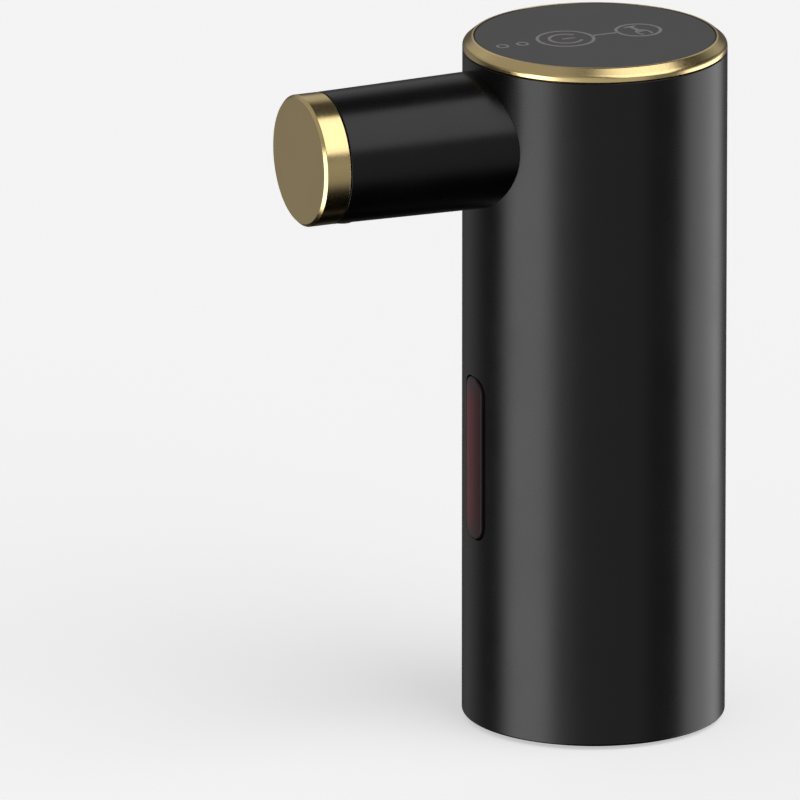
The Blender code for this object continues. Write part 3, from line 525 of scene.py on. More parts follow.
def wall_slug(name, w, h, r, levels, z, side=-1, cols=12, n=10):
    """Round-cornered slug that follows the round wall. levels are (radius, growth of outline).

    side -1 faces the front, +1 the back. Its outline is drawn in X-Z, as seen from that side.
    """
    bm = bmesh.new()
    grids = []
    for rad, grow in levels:
        grid = []
        for v, u in outline_rows(w + 2 * grow, h + 2 * grow, r + grow, n):
            line = []
            for k in range(cols + 1):
                x = u * (2 * k / cols - 1)
                line.append(bm.verts.new((x, side * math.sqrt(rad * rad - x * x), z + v)))
            grid.append(line)
        grids.append(grid)

    def rim(g):
        loop = list(g[0])
        loop += [line[-1] for line in g[1:-1]]
        loop += list(reversed(g[-1]))
        loop += [line[0] for line in reversed(g[1:-1])]
        return loop

    for g in (grids[0], grids[-1]):
        for a, b in zip(g, g[1:]):
            for k in range(cols):
                bm.faces.new((a[k], a[k + 1], b[k + 1], b[k]))
    for ga, gb in zip(grids, grids[1:]):
        la, lb = rim(ga), rim(gb)
        for k in range(len(la)):
            k2 = (k + 1) % len(la)
            bm.faces.new((la[k], la[k2], lb[k2], lb[k]))
    bmesh.ops.remove_doubles(bm, verts=bm.verts, dist=1e-5)
    bmesh.ops.dissolve_degenerate(bm, edges=bm.edges, dist=1e-6)
    return solid(name, bm)


def mouth(f, r_out, r_in, deep=0.0, past=0.4):
    """Levels of a cutter through a wall whose outer edge gets a fillet of radius f."""
    out = [(r_in, deep), (r_out - f, deep)]
    for k in range(1, 5):
        a = math.radians(18.0 * k)
        out.append((r_out - f + f * math.sin(a), deep + f - f * math.cos(a)))
    a = math.radians(72.0)
    last = out[-1]
    out.append((last[0] + past * math.cos(a) + f * 0.1, last[1] + past * math.sin(a)))
    return out


def combine(ob, steps):
    """Applies booleans in turn. steps are (operation, object); each other object is used up."""
    for k, (op, other) in enumerate(steps):
        b = ob.modifiers.new("b%02d" % k, "BOOLEAN")
        b.operation = op
        b.object = other
        b.solver = "EXACT"
    bpy.context.view_layer.update()
    dg = bpy.context.evaluated_depsgraph_get()
    me = bpy.data.meshes.new_from_object(ob.evaluated_get(dg))
    ob.modifiers.clear()
    old = ob.data
    ob.data = me
    bpy.data.meshes.remove(old)
    for _, other in steps:
        data = other.data
        bpy.data.objects.remove(other)
        if data.users == 0:
            bpy.data.meshes.remove(data)
    return ob


def shade(ob, rounds=(), angle=38.0):
    """Normals weighted by face area within an angle, and exact ones on the round walls named.

    rounds are (point, direction, radius at the point, growth of the radius along the direction)
    in the mesh's own millimetres.
    """
    me = ob.data
    if me.attributes.get("custom_normal"):
        me.attributes.remove(me.attributes["custom_normal"])
    n_loops, n_polys = len(me.loops), len(me.polygons)
    vert = np.empty(n_loops, np.int64)
    me.loops.foreach_get("vertex_index", vert)
    total = np.empty(n_polys, np.int64)
    me.polygons.foreach_get("loop_total", total)
    area = np.empty(n_polys)
    me.polygons.foreach_get("area", area)
    pn = np.empty(n_polys * 3)
    me.polygons.foreach_get("normal", pn)
    pn = pn.reshape(-1, 3)
    face = np.repeat(np.arange(n_polys), total)
    fn, fa = pn[face], area[face]
    order = np.argsort(vert, kind="stable")
    sv = vert[order]
    start_of = np.searchsorted(sv, sv, side="left")
    count = np.searchsorted(sv, sv, side="right") - start_of
    pos = np.arange(n_loops) - start_of
    acc = np.zeros((n_loops, 3))
    sn, sa = fn[order], fa[order]
    limit = math.cos(math.radians(angle))
    for s in range(int(count.max())):
        live = np.nonzero(count > s)[0]
        partner = start_of[live] + (pos[live] + s) % count[live]
        near = np.einsum("ij,ij->i", sn[live], sn[partner]) > limit
        live, partner = live[near], partner[near]
        acc[live] += sn[partner] * sa[partner][:, None]
    normals = np.zeros((n_loops, 3))
    normals[order] = acc
    bad = np.linalg.norm(normals, axis=1) < 1e-12
    normals[bad] = fn[bad]
    co = np.empty(len(me.vertices) * 3)
    me.vertices.foreach_get("co", co)
    p = co.reshape(-1, 3)[vert]
    for point, direction, radius, slope in rounds:
        d = np.array(direction, float)
        d /= np.linalg.norm(d)
        rel = p - np.array(point, float)
        along = rel @ d
        rad = rel - np.outer(along, d)
        length = np.linalg.norm(rad, axis=1)
        unit = rad / np.maximum(length, 1e-9)[:, None] - slope * d
        unit /= math.sqrt(1.0 + slope * slope)
        dot = np.einsum("ij,ij->i", unit, fn)
        hit = (np.abs(length - radius - slope * along) < 3e-3) & (np.abs(dot) > math.cos(math.radians(30.0)))
        normals[hit] = unit[hit] * np.sign(dot[hit])[:, None]
    normals /= np.linalg.norm(normals, axis=1)[:, None]
    me.polygons.foreach_set("use_smooth", np.ones(n_polys, bool))
    me.normals_split_custom_set([tuple(x) for x in normals.tolist()])
    return ob


def move_to_row(ob):
    """Millimetres round the body's axis into metres of the row frame, keeping the normals."""
    me = ob.data
    had = me.has_custom_normals
    keep = [tuple(c.vector) for c in me.corner_normals] if had else None
    me.transform(TO_ROW)
    if had:
        me.normals_split_custom_set(keep)
    return ob


shown = set()


def piece(ob, body, slot, *nodes, mats=None, name=None):
    """Places a finished piece on its body, standing for CAD nodes."""
    move_to_row(ob)
    if mats is not None:
        ob.data.materials.clear()
        for m in mats:
            ob.data.materials.append(m)
    if name:
        ob.name = name
    ob.data.name = ob.name
    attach(ob, body)
    if nodes:
        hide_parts(*nodes)
        shown.update(nodes)
    return ob


def screw(name, length, r_shank, r_head, h_head, pitch=0.5, place=UPRIGHT, segs=28, recess=0.62):
    """Pan-head screw with a real thread and a cross recess. It stands tip up, the head's face at 0."""
    bm = bmesh.new()
    core = r_shank - 0.24
    per = 6
    z0, z1 = h_head, length
    n = int((z1 - z0) / pitch * per)
    rings = []
    # head, from its face upwards
    head = rounded_profile([(0, h_head), (r_head, h_head, 0.1), (r_head, 0.0, min(0.55, h_head * 0.6)), (0, 0.0)], False)
    head = list(reversed(head))
    for p, _, _ in head[1:]:
        if p.x > 1e-6:
            rings.append([(p.x, p.y)] * segs)
    rings.append([(core, z0)] * segs)
    for i in range(n + 1):
        line = []
        for j in range(segs):
            z = z0 + 0.02 + (z1 - z0 - 0.02) * i / n
            ph = (z / pitch - j / segs) % 1.0
            ridge = max(0.0, 1.0 - abs(ph - 0.5) / 0.42)
            taper = min(1.0, max(0.0, (z1 - z) / (pitch * 2.2))) * min(1.0, (z - z0) / (pitch * 0.6))
            line.append((core * (0.45 + 0.55 * min(1.0, (z1 - z) / (pitch * 1.6) + 0.12)) + 0.24 * ridge * taper, z))
        rings.append(line)
    grid = [[bm.verts.new((r * math.cos(math.tau * j / segs), r * math.sin(math.tau * j / segs), z))
             for j, (r, z) in enumerate(line)] for line in rings]
    low = bm.verts.new((0, 0, 0.0))
    top = bm.verts.new((0, 0, z1))
    for j in range(segs):
        j2 = (j + 1) % segs
        bm.faces.new((low, grid[0][j2], grid[0][j]))
        bm.faces.new((top, grid[-1][j], grid[-1][j2]))
        for a, b in zip(grid, grid[1:]):
            bm.faces.new((a[j], a[j2], b[j2], b[j]))
    ob = solid(name, bm)
    cross = []
    for k in (0, 1):
        b2 = bmesh.new()
        bmesh.ops.create_cube(b2, size=1.0)
        a, t = r_head * recess, r_head * 0.17
        for v in b2.verts:
            deep = v.co.z > 0
            w = a * (0.55 if deep else 1.0)
            tt = t * (0.7 if deep else 1.0)
            v.co = Vector(((v.co.x * 2) * (w if k == 0 else tt), (v.co.y * 2) * (tt if k == 0 else w),
                           h_head * 0.72 if deep else -0.3))
        cross.append(("DIFFERENCE", solid("%s_cross%d" % (name, k), b2)))
    combine(ob, cross)
    ob.data.transform(place)
    shade(ob, angle=50.0)
    return ob


# ------------------------------------------------------------------ body shell
def screw_xy(a, r=BASE_SCREW_R):
    return r * math.cos(math.radians(a)), r * math.sin(math.radians(a))


shell = turned("body_shell_skin", [
    (BODY_R, SHELL_Z1, 0.18), (BODY_R, SHELL_Z0, 0.6), (BODY_RI, SHELL_Z0, 0.15), (BODY_RI, SHELL_Z1, 0.15)], 288)
steps = []
for i, a in enumerate(BASE_SCREW_A):
    x, y = screw_xy(a)
    steps.append(("UNION", turned("boss%d" % i, [(0, 13.0), (3.3, 13.0, 0.3), (3.3, 4.7), (0, 4.7)], 40, at(x, y))))
pad = wall_slug("port_pad", 21.0, 13.0, 2.0, [(27.2, 0.0), (28.9, 0.0)], PORT_Z, 1, 16)
steps.append(("UNION", pad))
for i, a in enumerate(BASE_SCREW_A):
    x, y = screw_xy(a)
    steps.append(("DIFFERENCE", turned("pilot%d" % i, [(0, 11.6), (1.2, 11.6), (1.2, 4.0), (0, 4.0)], 24, at(x, y))))
steps += [
    ("DIFFERENCE", wall_slug("slot_cut", SLOT_W, SLOT_H, SLOT_R, mouth(0.12, BODY_R, 26.0), SLOT_Z, -1, 24, 10)),
    ("DIFFERENCE", wall_slug("recess_cut", FLAP_W + 0.8, FLAP_H + 0.8, 9.0, mouth(0.25, BODY_R, 28.85), PORT_Z, 1,
                             24, 14)),
    ("DIFFERENCE", wall_slug("port_cut", 10.6, 4.8, 2.4, [(26.0, 0.0), (29.5, 0.0)], PORT_Z, 1, 16, 10)),
    ("DIFFERENCE", turned("spout_cut", [(0, 33.0), (SPIGOT_R + 0.3, 33.0), (SPIGOT_R + 0.3, 20.0), (0, 20.0)], 96,
                          ALONG_SPOUT)),
]
for i, x in enumerate((SPOUT_SCREW_X, -SPOUT_SCREW_X)):
    steps.append(("DIFFERENCE", turned("ss%d" % i, [(0, 31.0), (1.2, 31.0), (1.2, 20.0), (0, 20.0)], 24,
                                       ALONG_SPOUT @ at(x))))
combine(shell, steps)
UP = ((0, 0, 0), (0, 0, 1))
shade(shell, [(*UP, BODY_R, 0), (*UP, BODY_RI, 0), (*UP, 28.85, 0)])
piece(shell, "housing", "shell_black", "body_shell", mats=[M["shell_black"]])

# ------------------------------------------------------------------ spout, cap, nozzle
ROOT_R = SPOUT_R + (SPOUT_END - 25.5) * SPOUT_DRAFT
spout = turned("spout_tube_skin", [
    (SPOUT_R, SPOUT_END, 0.18), (ROOT_R, 25.5), (12.5, 25.5), (12.5, 26.0), (9.6, 26.0), (9.6, 36.0, 0.8),
    (SPOUT_RI, 38.0, 0.8), (SPOUT_RI, SPOUT_END)], 192, ALONG_SPOUT)
saddle = turned("saddle", [(0, 158.0), (BODY_R + 0.04, 158.0), (BODY_R + 0.04, 120.0), (0, 120.0)], 288)
combine(saddle, [("DIFFERENCE", turned("spigot_core", [(0, 40.0), (SPIGOT_R, 40.0), (SPIGOT_R, -1.0), (0, -1.0)],
                                       96, ALONG_SPOUT))])
steps = [("DIFFERENCE", turned("nozzle_hole", [(0, 130.0), (NOZZLE_R + 0.12, 130.0), (NOZZLE_R + 0.12, 120.0),
                                               (0, 120.0)], 64, at(0, NOZZLE_Y))), ("DIFFERENCE", saddle)]
for i, x in enumerate((SPOUT_SCREW_X, -SPOUT_SCREW_X)):
    steps.append(("DIFFERENCE", turned("sp%d" % i, [(0, 34.6), (1.2, 34.6), (1.2, 20.0), (0, 20.0)], 24,
                                       ALONG_SPOUT @ at(x))))
combine(spout, steps)
LEVEL = ((0, 0, SPOUT_Z), (0, -1, 0))
shade(spout, [(*LEVEL, SPOUT_R + SPOUT_END * SPOUT_DRAFT, -SPOUT_DRAFT), (*LEVEL, SPOUT_RI, 0),
              (*LEVEL, SPIGOT_R, 0), (*UP, BODY_R + 0.04, 0)])
piece(spout, "housing", "shell_black", "spout_tube", mats=[M["spout_black"]])

cap = turned("spout_cap_skin", [
    (0, REACH), (SPOUT_R - 0.7, REACH, 0.22), (SPOUT_R, REACH - 0.7, 0.30), (SPOUT_R, SPOUT_END + 0.3, 0.12),
    (13.0, SPOUT_END + 0.3), (13.0, 65.6, 0.2), (11.9, 65.6), (11.9, REACH - 1.2), (0, REACH - 1.2)], 192,
    ALONG_SPOUT, mat_of=lambda r, z: 1 if z > REACH - 0.02 else 0)
piece(cap, "housing", "gold", "spout_cap", mats=[M["gold"], M["gold_face"]])

nozzle_z = SPOUT_Z - SPOUT_R - 0.2
nozzle = turned("outlet_nozzle_skin", [
    (0, 145.6), (NOZZLE_R - 0.4, 145.6, 0.2), (NOZZLE_R, 145.2, 0.2), (NOZZLE_R, nozzle_z, 0.3),
    (NOZZLE_BORE, nozzle_z, 0.25), (NOZZLE_BORE, 142.0, 0.1), (0, 143.8)], 64, at(0, NOZZLE_Y))
combine(nozzle, [("DIFFERENCE", turned("side_hole", [(0, 62.6), (1.6, 62.6), (1.6, 52.0), (0, 52.0)], 32,
                                       ALONG_SPOUT))])
shade(nozzle, [((0, NOZZLE_Y, 0), (0, 0, 1), NOZZLE_R, 0), ((0, NOZZLE_Y, 0), (0, 0, 1), NOZZLE_BORE, 0)])
piece(nozzle, "housing", "soft_black", "outlet_nozzle", mats=[M["soft_black"]])

# ------------------------------------------------------------------ top ring and touch panel
ring = turned("top_ring_skin", [
    (27.9, 160.0, 0.72), (30.0, 158.3, 1.3), (30.0, 157.1, 0.10), (28.0, 157.1), (28.0, 154.6, 0.2), (25.6, 154.6, 0.2),
    (25.6, 158.4), (27.5, 158.4), (27.5, 160.0, 0.10)], 288)
piece(ring, "housing", "gold", "top_ring", mats=[M["gold"]])

panel = turned("touch_panel_skin", [(0, PANEL_TOP), (27.32, PANEL_TOP, 0.22), (27.32, 158.7, 0.1), (0, 158.7)], 288)
piece(panel, "housing", "panel_gloss", "touch_panel", mats=[M["panel_gloss"]])


def ribbon(bm, pts, width, z0, z1, cyclic=False, ends=4):
    """Flat printed line of an even width along points, with round ends where it is open."""
    n = len(pts)
    left, rite = [], []
    for i, p in enumerate(pts):
        a = pts[i - 1] if (cyclic or i > 0) else pts[i]
        b = pts[(i + 1) % n] if (cyclic or i < n - 1) else pts[i]
        d = (Vector(b) - Vector(a)).normalized()
        m = Vector((-d.y, d.x)) * width / 2
        left.append((p[0] + m.x, p[1] + m.y))
        rite.append((p[0] - m.x, p[1] - m.y))

    def put(ps, z):
        return [bm.verts.new((x, y, z)) for x, y in ps]

    lt, rt, lb, rb = put(left, z1), put(rite, z1), put(left, z0), put(rite, z0)
    last = n if cyclic else n - 1
    for i in range(last):
        k = (i + 1) % n
        bm.faces.new((lt[i], lt[k], rt[k], rt[i]))
        bm.faces.new((lb[i], rb[i], rb[k], lb[k]))
        bm.faces.new((lt[i], lb[i], lb[k], lt[k]))
        bm.faces.new((rt[i], rt[k], rb[k], rb[i]))
    if not cyclic:
        bm.faces.new((lt[0], rt[0], rb[0], lb[0]))
        bm.faces.new((lt[-1], lb[-1], rb[-1], rt[-1]))


def arc(cx, cy, r, a0, a1, n):
    return [(cx + r * math.cos(math.radians(a0 + (a1 - a0) * i / n)),
             cy + r * math.sin(math.radians(a0 + (a1 - a0) * i / n))) for i in range(n + 1)]


def ringpts(cx, cy, r, n):
    return arc(cx, cy, r, 0, 360, n)[:-1]


def patch(bm, outline, z0, z1):
    """Flat printed area inside an outline."""
    low = [bm.verts.new((x, y, z0)) for x, y in outline]
    top = [bm.verts.new((x, y, z1)) for x, y in outline]
    bm.faces.new(top)
    bm.faces.new(list(reversed(low)))
    for k in range(len(top)):
        k2 = (k + 1) % len(top)
        bm.faces.new((low[k], low[k2], top[k2], top[k]))


bm = bmesh.new()
Z0, Z1, LINE = PANEL_TOP - 0.02, PANEL_TOP + 0.03, 0.75
for y in (-22.9, -18.0):                       # two small light rings
    ribbon(bm, ringpts(0, y, 1.22, 48), 0.60, Z0, Z1, True)
C1, C2 = (0.0, -7.3), (0.0, 10.75)
ribbon(bm, ringpts(*C1, 6.4, 120), LINE, Z0, Z1, True)                 # round the pour button
ribbon(bm, arc(*C1, 3.7, 124, 416, 80), LINE, Z0, Z1)                  # its open ring and short bar
ribbon(bm, [(0, C1[1] - 0.8), (0, C1[1] + 2.3)], LINE, Z0, Z1)
ribbon(bm, [(0, C1[1] + 6.65), (0, C2[1] - 5.35)], 0.80, Z0, Z1)       # line between the two
ribbon(bm, ringpts(*C2, 5.05, 100), LINE, Z0, Z1, True)                # round the amount button


def leaning(ps, a=math.radians(11.0)):
    """Turns a figure drawn lying down about the second button's middle."""
    return [(C2[0] + x * math.cos(a) - y * math.sin(a), C2[1] + x * math.sin(a) + y * math.cos(a)) for x, y in ps]


# tilted stemmed cup: foot, stem, bowl outline and what it holds
ribbon(bm, leaning([(-3.35, -1.5), (-3.35, 1.5)]), 0.80, Z0, Z1)
ribbon(bm, leaning([(-2.95, 0.0), (-0.28, 0.0)]), 1.05, Z0, Z1)
half = [(3.85, 1.20), (2.9, 1.42), (1.9, 1.44), (1.05, 1.26), (0.42, 0.90), (0.1, 0.44), (0.0, 0.0)]
bowl = half + [(x, -y) for x, y in reversed(half[:-1])]
ribbon(bm, leaning(bowl), 0.62, Z0, Z1)
patch(bm, leaning([(1.50, 1.00), (0.98, 0.80), (0.62, 0.50), (0.50, 0.0), (0.62, -0.50), (0.98, -0.80),
                   (1.50, -1.00)]), Z0, Z1)
icons = solid("panel_icons", bm)
shade(icons, angle=20.0)
piece(icons, "housing", "panel_gloss", mats=[M["panel_print"]])

# ------------------------------------------------------------------ light window
lens = wall_slug("light_lens_skin", LENS_W, LENS_H, LENS_R, [(28.0, 0.0), (29.9, 0.0)] + [
    (LENS_FACE_R - 0.4 + 0.4 * math.sin(math.radians(a)), -0.4 + 0.4 * math.cos(math.radians(a)))
    for a in (22.5, 45, 67.5, 90)], SLOT_Z, -1, 28, 14)
flange = wall_slug("lens_flange", 13.2, SLOT_H + 2.6, 3.0, [(26.9, 0.0), (28.02, 0.0)], SLOT_Z, -1, 20, 8)
combine(lens, [("UNION", flange)])
shade(lens, [(*UP, LENS_FACE_R, 0)])
piece(lens, "housing", "lens_red", "light_lens", mats=[M["lens_red"], M["lens_mask"]])
for p in lens.data.polygons:                   # the flange and the side walls carry a dark mask that also paints shade beside the lens; the long edges are dark as painted shade
    c = p.center
    if math.hypot(c.x, c.y - AXIS_Y) < 29.85 * MM or abs(p.normal.x) > 0.26:
        p.material_index = 1

# ------------------------------------------------------------------ base
foot = turned("foot_ring_skin", [
    (27.3, 1.5, 0.1), (27.3, 0.0, 0.35), (25.9, 0.0, 0.08), (25.75, 0.25, 0.05), (25.45, 0.25, 0.05), (25.3, 0.0, 0.08),
    (24.6, 0.0, 0.08), (24.45, 0.25, 0.05), (24.15, 0.25, 0.05), (24.0, 0.0, 0.08), (22.6, 0.0, 0.35), (22.6, 1.5, 0.1)],
    160)
piece(foot, "housing", "soft_black", "foot_ring", mats=[M["soft_black"]])

plate = turned("base_plate_skin", [
    (28.0, 4.4, 0.2), (28.0, 1.8, 0.35), (18.2, 1.8, 0.5), (17.2, 2.8, 0.5), (17.2, 4.4, 0.2)], 160)
steps = []
for i, a in enumerate(BASE_SCREW_A):
    x, y = screw_xy(a)
    steps.append(("DIFFERENCE", turned("bh%d" % i, [
        (0, 5.0), (1.35, 5.0), (1.35, 3.2), (2.3, 3.2), (2.3, 1.95), (2.6, 1.6), (0, 1.6)], 40, at(x, y))))
combine(plate, steps)
shade(plate, [(*UP, 28.0, 0), (*UP, 17.2, 0)])
piece(plate, "housing", "base_black", "base_plate", mats=[M["base_black"]])

for i, a in enumerate(BASE_SCREW_A):
    x, y = screw_xy(a)
    s = screw("base_screw_%d_skin" % (i + 1), 8.5, 1.15, 1.95, 1.0, place=at(x, y, 2.0))
    piece(s, "housing", "zinc_plate", "base_screw_%d" % (i + 1), mats=[M["zinc_plate"]])

liner = turned("neck_liner_skin", [
    (23.8, 81.0, 0.2), (23.8, 79.2, 0.3), (18.3, 79.2, 0.6), (19.9, 4.7, 0.2), (18.5, 4.7, 0.5), (16.9, 81.0, 0.3)], 160)
piece(liner, "housing", "inner_grey", "neck_liner", mats=[M["base_black"]])

grip = turned("neck_grip_ring_skin", [
    (18.0, 11.7, 0.2), (18.0, 4.7, 0.2), (16.6, 4.7, 0.15), (15.4, 6.0, 0.3), (16.6, 7.4, 0.3), (15.4, 8.8, 0.3),
    (16.6, 10.2, 0.3), (16.6, 11.7, 0.2)], 128)
piece(grip, "housing", "soft_black", "neck_grip_ring", mats=[M["soft_black"]])

stopper = turned("bottle_stopper_skin", [
    (16.2, 81.0, 0.3), (16.2, 78.0, 0.5), (9.9, 78.0, 0.2), (9.8, 75.5, 0.3), (9.1, 74.0, 0.3), (9.6, 70.5, 0.4),
    (8.9, 69.0, 0.3), (9.3, 65.0, 0.4), (8.6, 63.5, 0.3), (9.0, 60.5, 0.5), (7.4, 58.0, 0.5), (3.3, 58.0, 0.3),
    (3.3, 81.0, 0.2)], 128)
combine(stopper, [
    ("DIFFERENCE", turned("vent", [(0, 82.0), (1.6, 82.0), (1.6, 57.0), (0, 57.0)], 32, at(6.0))),
    ("DIFFERENCE", bar("groove", (5.0, -1.2, 79.9), (17.5, 1.2, 82.0)))])
shade(stopper)
piece(stopper, "housing", "silicone_clear", "bottle_stopper", mats=[M["silicone_clear"]])

valve = turned("air_valve_skin", [
    (1.3, 79.4, 0.15), (1.3, 67.2, 0.3), (0.9, 66.0, 0.12), (0.55, 66.0, 0.05), (0.55, 79.4, 0.05)], 40, at(6.0))
piece(valve, "housing", "soft_black", "air_valve", mats=[M["soft_black"]])

nipple = turned("suction_nipple_skin", [
    (3.0, 88.9, 0.2), (3.0, 57.0, 0.15), (3.5, 56.0, 0.12), (2.9, 53.8, 0.12), (3.5, 52.8, 0.12), (2.9, 50.0, 0.2),
    (2.0, 50.0, 0.15), (2.0, 88.9, 0.2)], 72)
piece(nipple, "housing", "stainless", "suction_nipple", mats=[M["stainless"]])

# ------------------------------------------------------------------ charging port
flap = wall_slug("port_flap_skin", FLAP_W, FLAP_H, 9.0, [
    (29.15, -0.12), (29.27, 0.0), (29.72, 0.0), (29.84, -0.05), (29.92, -0.15), (29.95, -0.32)], PORT_Z, 1, 24, 16)
plug = wall_slug("flap_plug", 10.0, 4.2, 2.1, [(28.32, -0.35), (28.42, -0.12), (28.6, 0.0), (29.4, 0.0)], PORT_Z, 1, 16, 10)
nail = turned("nail_scoop", [(0, 2.6), (2.2, 2.6, 0.0), (2.2, -2.6, 0.0), (0, -2.6)], 48,
              Matrix.Translation((-(FLAP_W / 2 - 0.55), 31.42, PORT_Z)))
combine(flap, [("UNION", plug), ("DIFFERENCE", nail)])
shade(flap, [(*UP, 29.95, 0)])
piece(flap, "port_cover", "soft_black", "port_flap", mats=[M["soft_black"]])


def rounded_rect(w, h, r, n=6):
    out = []
    for cx, cy, a in ((w / 2 - r, h / 2 - r, 0), (-w / 2 + r, h / 2 - r, 90),
                      (-w / 2 + r, -h / 2 + r, 180), (w / 2 - r, -h / 2 + r, 270)):
        out += arc(cx, cy, r, a, a + 90, n)
    return out


def loft_y(name, sections, z):
    """Closed solid through outlines drawn in X-Z at places along Y. sections are (y, outline)."""
    bm = bmesh.new()
    loops = [[bm.verts.new((x, y, z + v)) for x, v in outline] for y, outline in sections]
    for a, b in zip(loops, loops[1:]):
        for k in range(len(a)):
            k2 = (k + 1) % len(a)
            bm.faces.new((a[k], a[k2], b[k2], b[k]))
    bm.faces.new(loops[0])
    bm.faces.new(list(reversed(loops[-1])))
    return solid(name, bm)


def rr(g):
    return rounded_rect(8.9 + 2 * g, 3.2 + 2 * g, 1.5 + g)


sock = loft_y("usb_socket_skin", [
    (21.5, rr(-0.08)), (21.58, rr(0.0)), (27.8, rr(0.0)), (27.9, rr(-0.1)), (27.9, rr(-0.22)), (27.78, rr(-0.3)),
    (22.6, rr(-0.3))], PORT_Z)
sock_tongue = bar("tongue", (-3.3, 22.2, PORT_Z - 0.35), (3.3, 27.0, PORT_Z + 0.35), 0.12)
combine(sock, [("UNION", sock_tongue)])
shade(sock, angle=30.0)
contacts = bmesh.new()
for s in (-1, 1):
    for k in range(12):
        x = (k - 5.5) * 0.5
        m = bmesh.ops.create_cube(contacts, size=1.0)
        bmesh.ops.scale(contacts, vec=(0.26, 3.0, 0.05), verts=m["verts"])
        bmesh.ops.translate(contacts, vec=(x, 25.1, PORT_Z + s * 0.365), verts=m["verts"])
piece(sock, "housing", "stainless", "usb_socket", mats=[M["stainless"], M["base_black"]])
for p in sock.data.polygons:
    c = p.center
    if abs(c.x) < 3.32 * MM and abs(c.z - PORT_Z * MM) < 0.36 * MM and (c.y - AXIS_Y) > 22.65 * MM:
        p.material_index = 1
pads = solid("usb_contacts", contacts)
shade(pads, angle=20.0)
piece(pads, "housing", "gold", mats=[M["gold"]])

# strap that holds the flap: a thin web from the recess's end wall into the flap's root
bm = bmesh.new()
rows = []
for k in range(9):
    x = -8.12 + 0.85 * k / 8
    rows.append(x)
loops = []
for x in rows:
    loop = []
    for rad, v in ((29.30, -2.0), (29.30, 2.0), (29.45, 2.12), (29.60, 2.12), (29.72, 2.0), (29.72, -2.0),
                   (29.60, -2.12), (29.45, -2.12)):
        loop.append(bm.verts.new((x, math.sqrt(rad * rad - x * x), PORT_Z + v)))
    loops.append(loop)
for a, b in zip(loops, loops[1:]):
    for k in range(8):
        k2 = (k + 1) % 8
        bm.faces.new((a[k], a[k2], b[k2], b[k]))
bm.faces.new(loops[0])
bm.faces.new(list(reversed(loops[-1])))
strap = solid("flap_strap", bm)
shade(strap, angle=50.0)
move_to_row(strap)
strap.data.materials.append(M["soft_black"])
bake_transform(strap)

# ------------------------------------------------------------------ hidden screws
for i, x in enumerate((SPOUT_SCREW_X, -SPOUT_SCREW_X)):
    s = screw("spout_screw_%d_skin" % (i + 1), 10.8, 1.1, 1.9, 1.0, place=ALONG_SPOUT @ at(x, 0, 23.35))
    piece(s, "housing", "zinc_plate", "spout_screw_%d" % (i + 1), mats=[M["zinc_plate"]])
flip = Matrix.Rotation(math.pi, 4, "X")
for i, (x, y) in enumerate([(13.0, -10.0), (-13.0, -10.0), (0.0, 10.6)]):
    s = screw("pump_screw_%d_skin" % (i + 1), 19.6, 1.1, 1.9, 1.0, place=at(x, y, 102.0) @ flip)
    piece(s, "housing", "zinc_plate", "pump_screw_%d" % (i + 1), mats=[M["zinc_plate"]])

# ------------------------------------------------------------------ check spring
def coil_spring(name, r, wire, turns, z0, z1, per_turn=36, sides=12):
    """Wound wire with a flat half turn at each end and rounded-off ends, lying along the spout."""
    bm = bmesh.new()
    n = int(turns * per_turn)
    pts = []
    for i in range(n + 1):
        t = turns * i / n
        h = min(max((t - 0.5) / (turns - 1.0), 0.0), 1.0)
        h = h * h * (3.0 - 2.0 * h) * 0.35 + h * 0.65
        pts.append(Vector((r * math.cos(math.tau * t), r * math.sin(math.tau * t), z0 + (z1 - z0) * h)))
    rings = []
    for i, p in enumerate(pts):
        run = (pts[min(i + 1, n)] - pts[max(i - 1, 0)]).normalized()
        out = Vector((p.x, p.y, 0.0)).normalized()
        up_ = run.cross(out).normalized()
        out = up_.cross(run).normalized()
        small = 0.72 if i in (0, n) else 1.0
        rings.append([bm.verts.new(p + (out * math.cos(math.tau * k / sides) + up_ * math.sin(math.tau * k / sides))
                                   * wire * small) for k in range(sides)])
    for a, b in zip(rings, rings[1:]):
        for k in range(sides):
            k2 = (k + 1) % sides
            bm.faces.new((a[k], a[k2], b[k2], b[k]))
    bm.faces.new(rings[0])
    bm.faces.new(list(reversed(rings[-1])))
    ob = solid(name, bm)
    ob.data.transform(ALONG_SPOUT)
    return ob


spring = coil_spring("check_spring_skin", 2.0, 0.25, 3.0, 48.3, 52.4)
shade(spring, angle=60.0)
piece(spring, "housing", "stainless", "check_spring", mats=[M["stainless"]])
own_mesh(spring)

# ------------------------------------------------------------------ CAD nodes that stay
FINISH_OF = {
    "deck": "inner_grey", "frame_post_1": "zinc_plate", "frame_post_2": "zinc_plate", "upper_frame": "inner_grey",
    "pump_body": "pump_white", "pump_gasket": "soft_black", "pump_cover": "pump_white", "drive_gear": "gear_resin",
    "driven_gear": "gear_resin", "shaft_seal": "soft_black", "motor_can": "zinc_plate", "motor_end_bell": "pump_white",
    "motor_magnet_1": "ferrite", "motor_magnet_2": "ferrite", "motor_shaft": "stainless",
    "armature_core": "lamination", "armature_winding_1": "copper", "armature_winding_2": "copper",
    "armature_winding_3": "copper", "commutator": "copper", "outlet_hose": "silicone_clear",
    "check_valve_body": "pump_white", "check_ball": "stainless",
    "battery_cell": "cell_blue", "main_board": "board_green", "touch_spring_1": "stainless",
    "touch_spring_2": "stainless", "light_pipe": "light_pipe_clear", "light_bar_board": "board_green",
    "battery_lead": "lead_red", "motor_lead": "lead_black", "light_lead": "lead_white", "charge_lead": "lead_white",
    "charge_board": "board_green",
}
for node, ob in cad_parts.items():
    if node in shown:
        continue
    mat = M[FINISH_OF[node]]
    ob.data.materials.clear()
    ob.data.materials.append(mat)

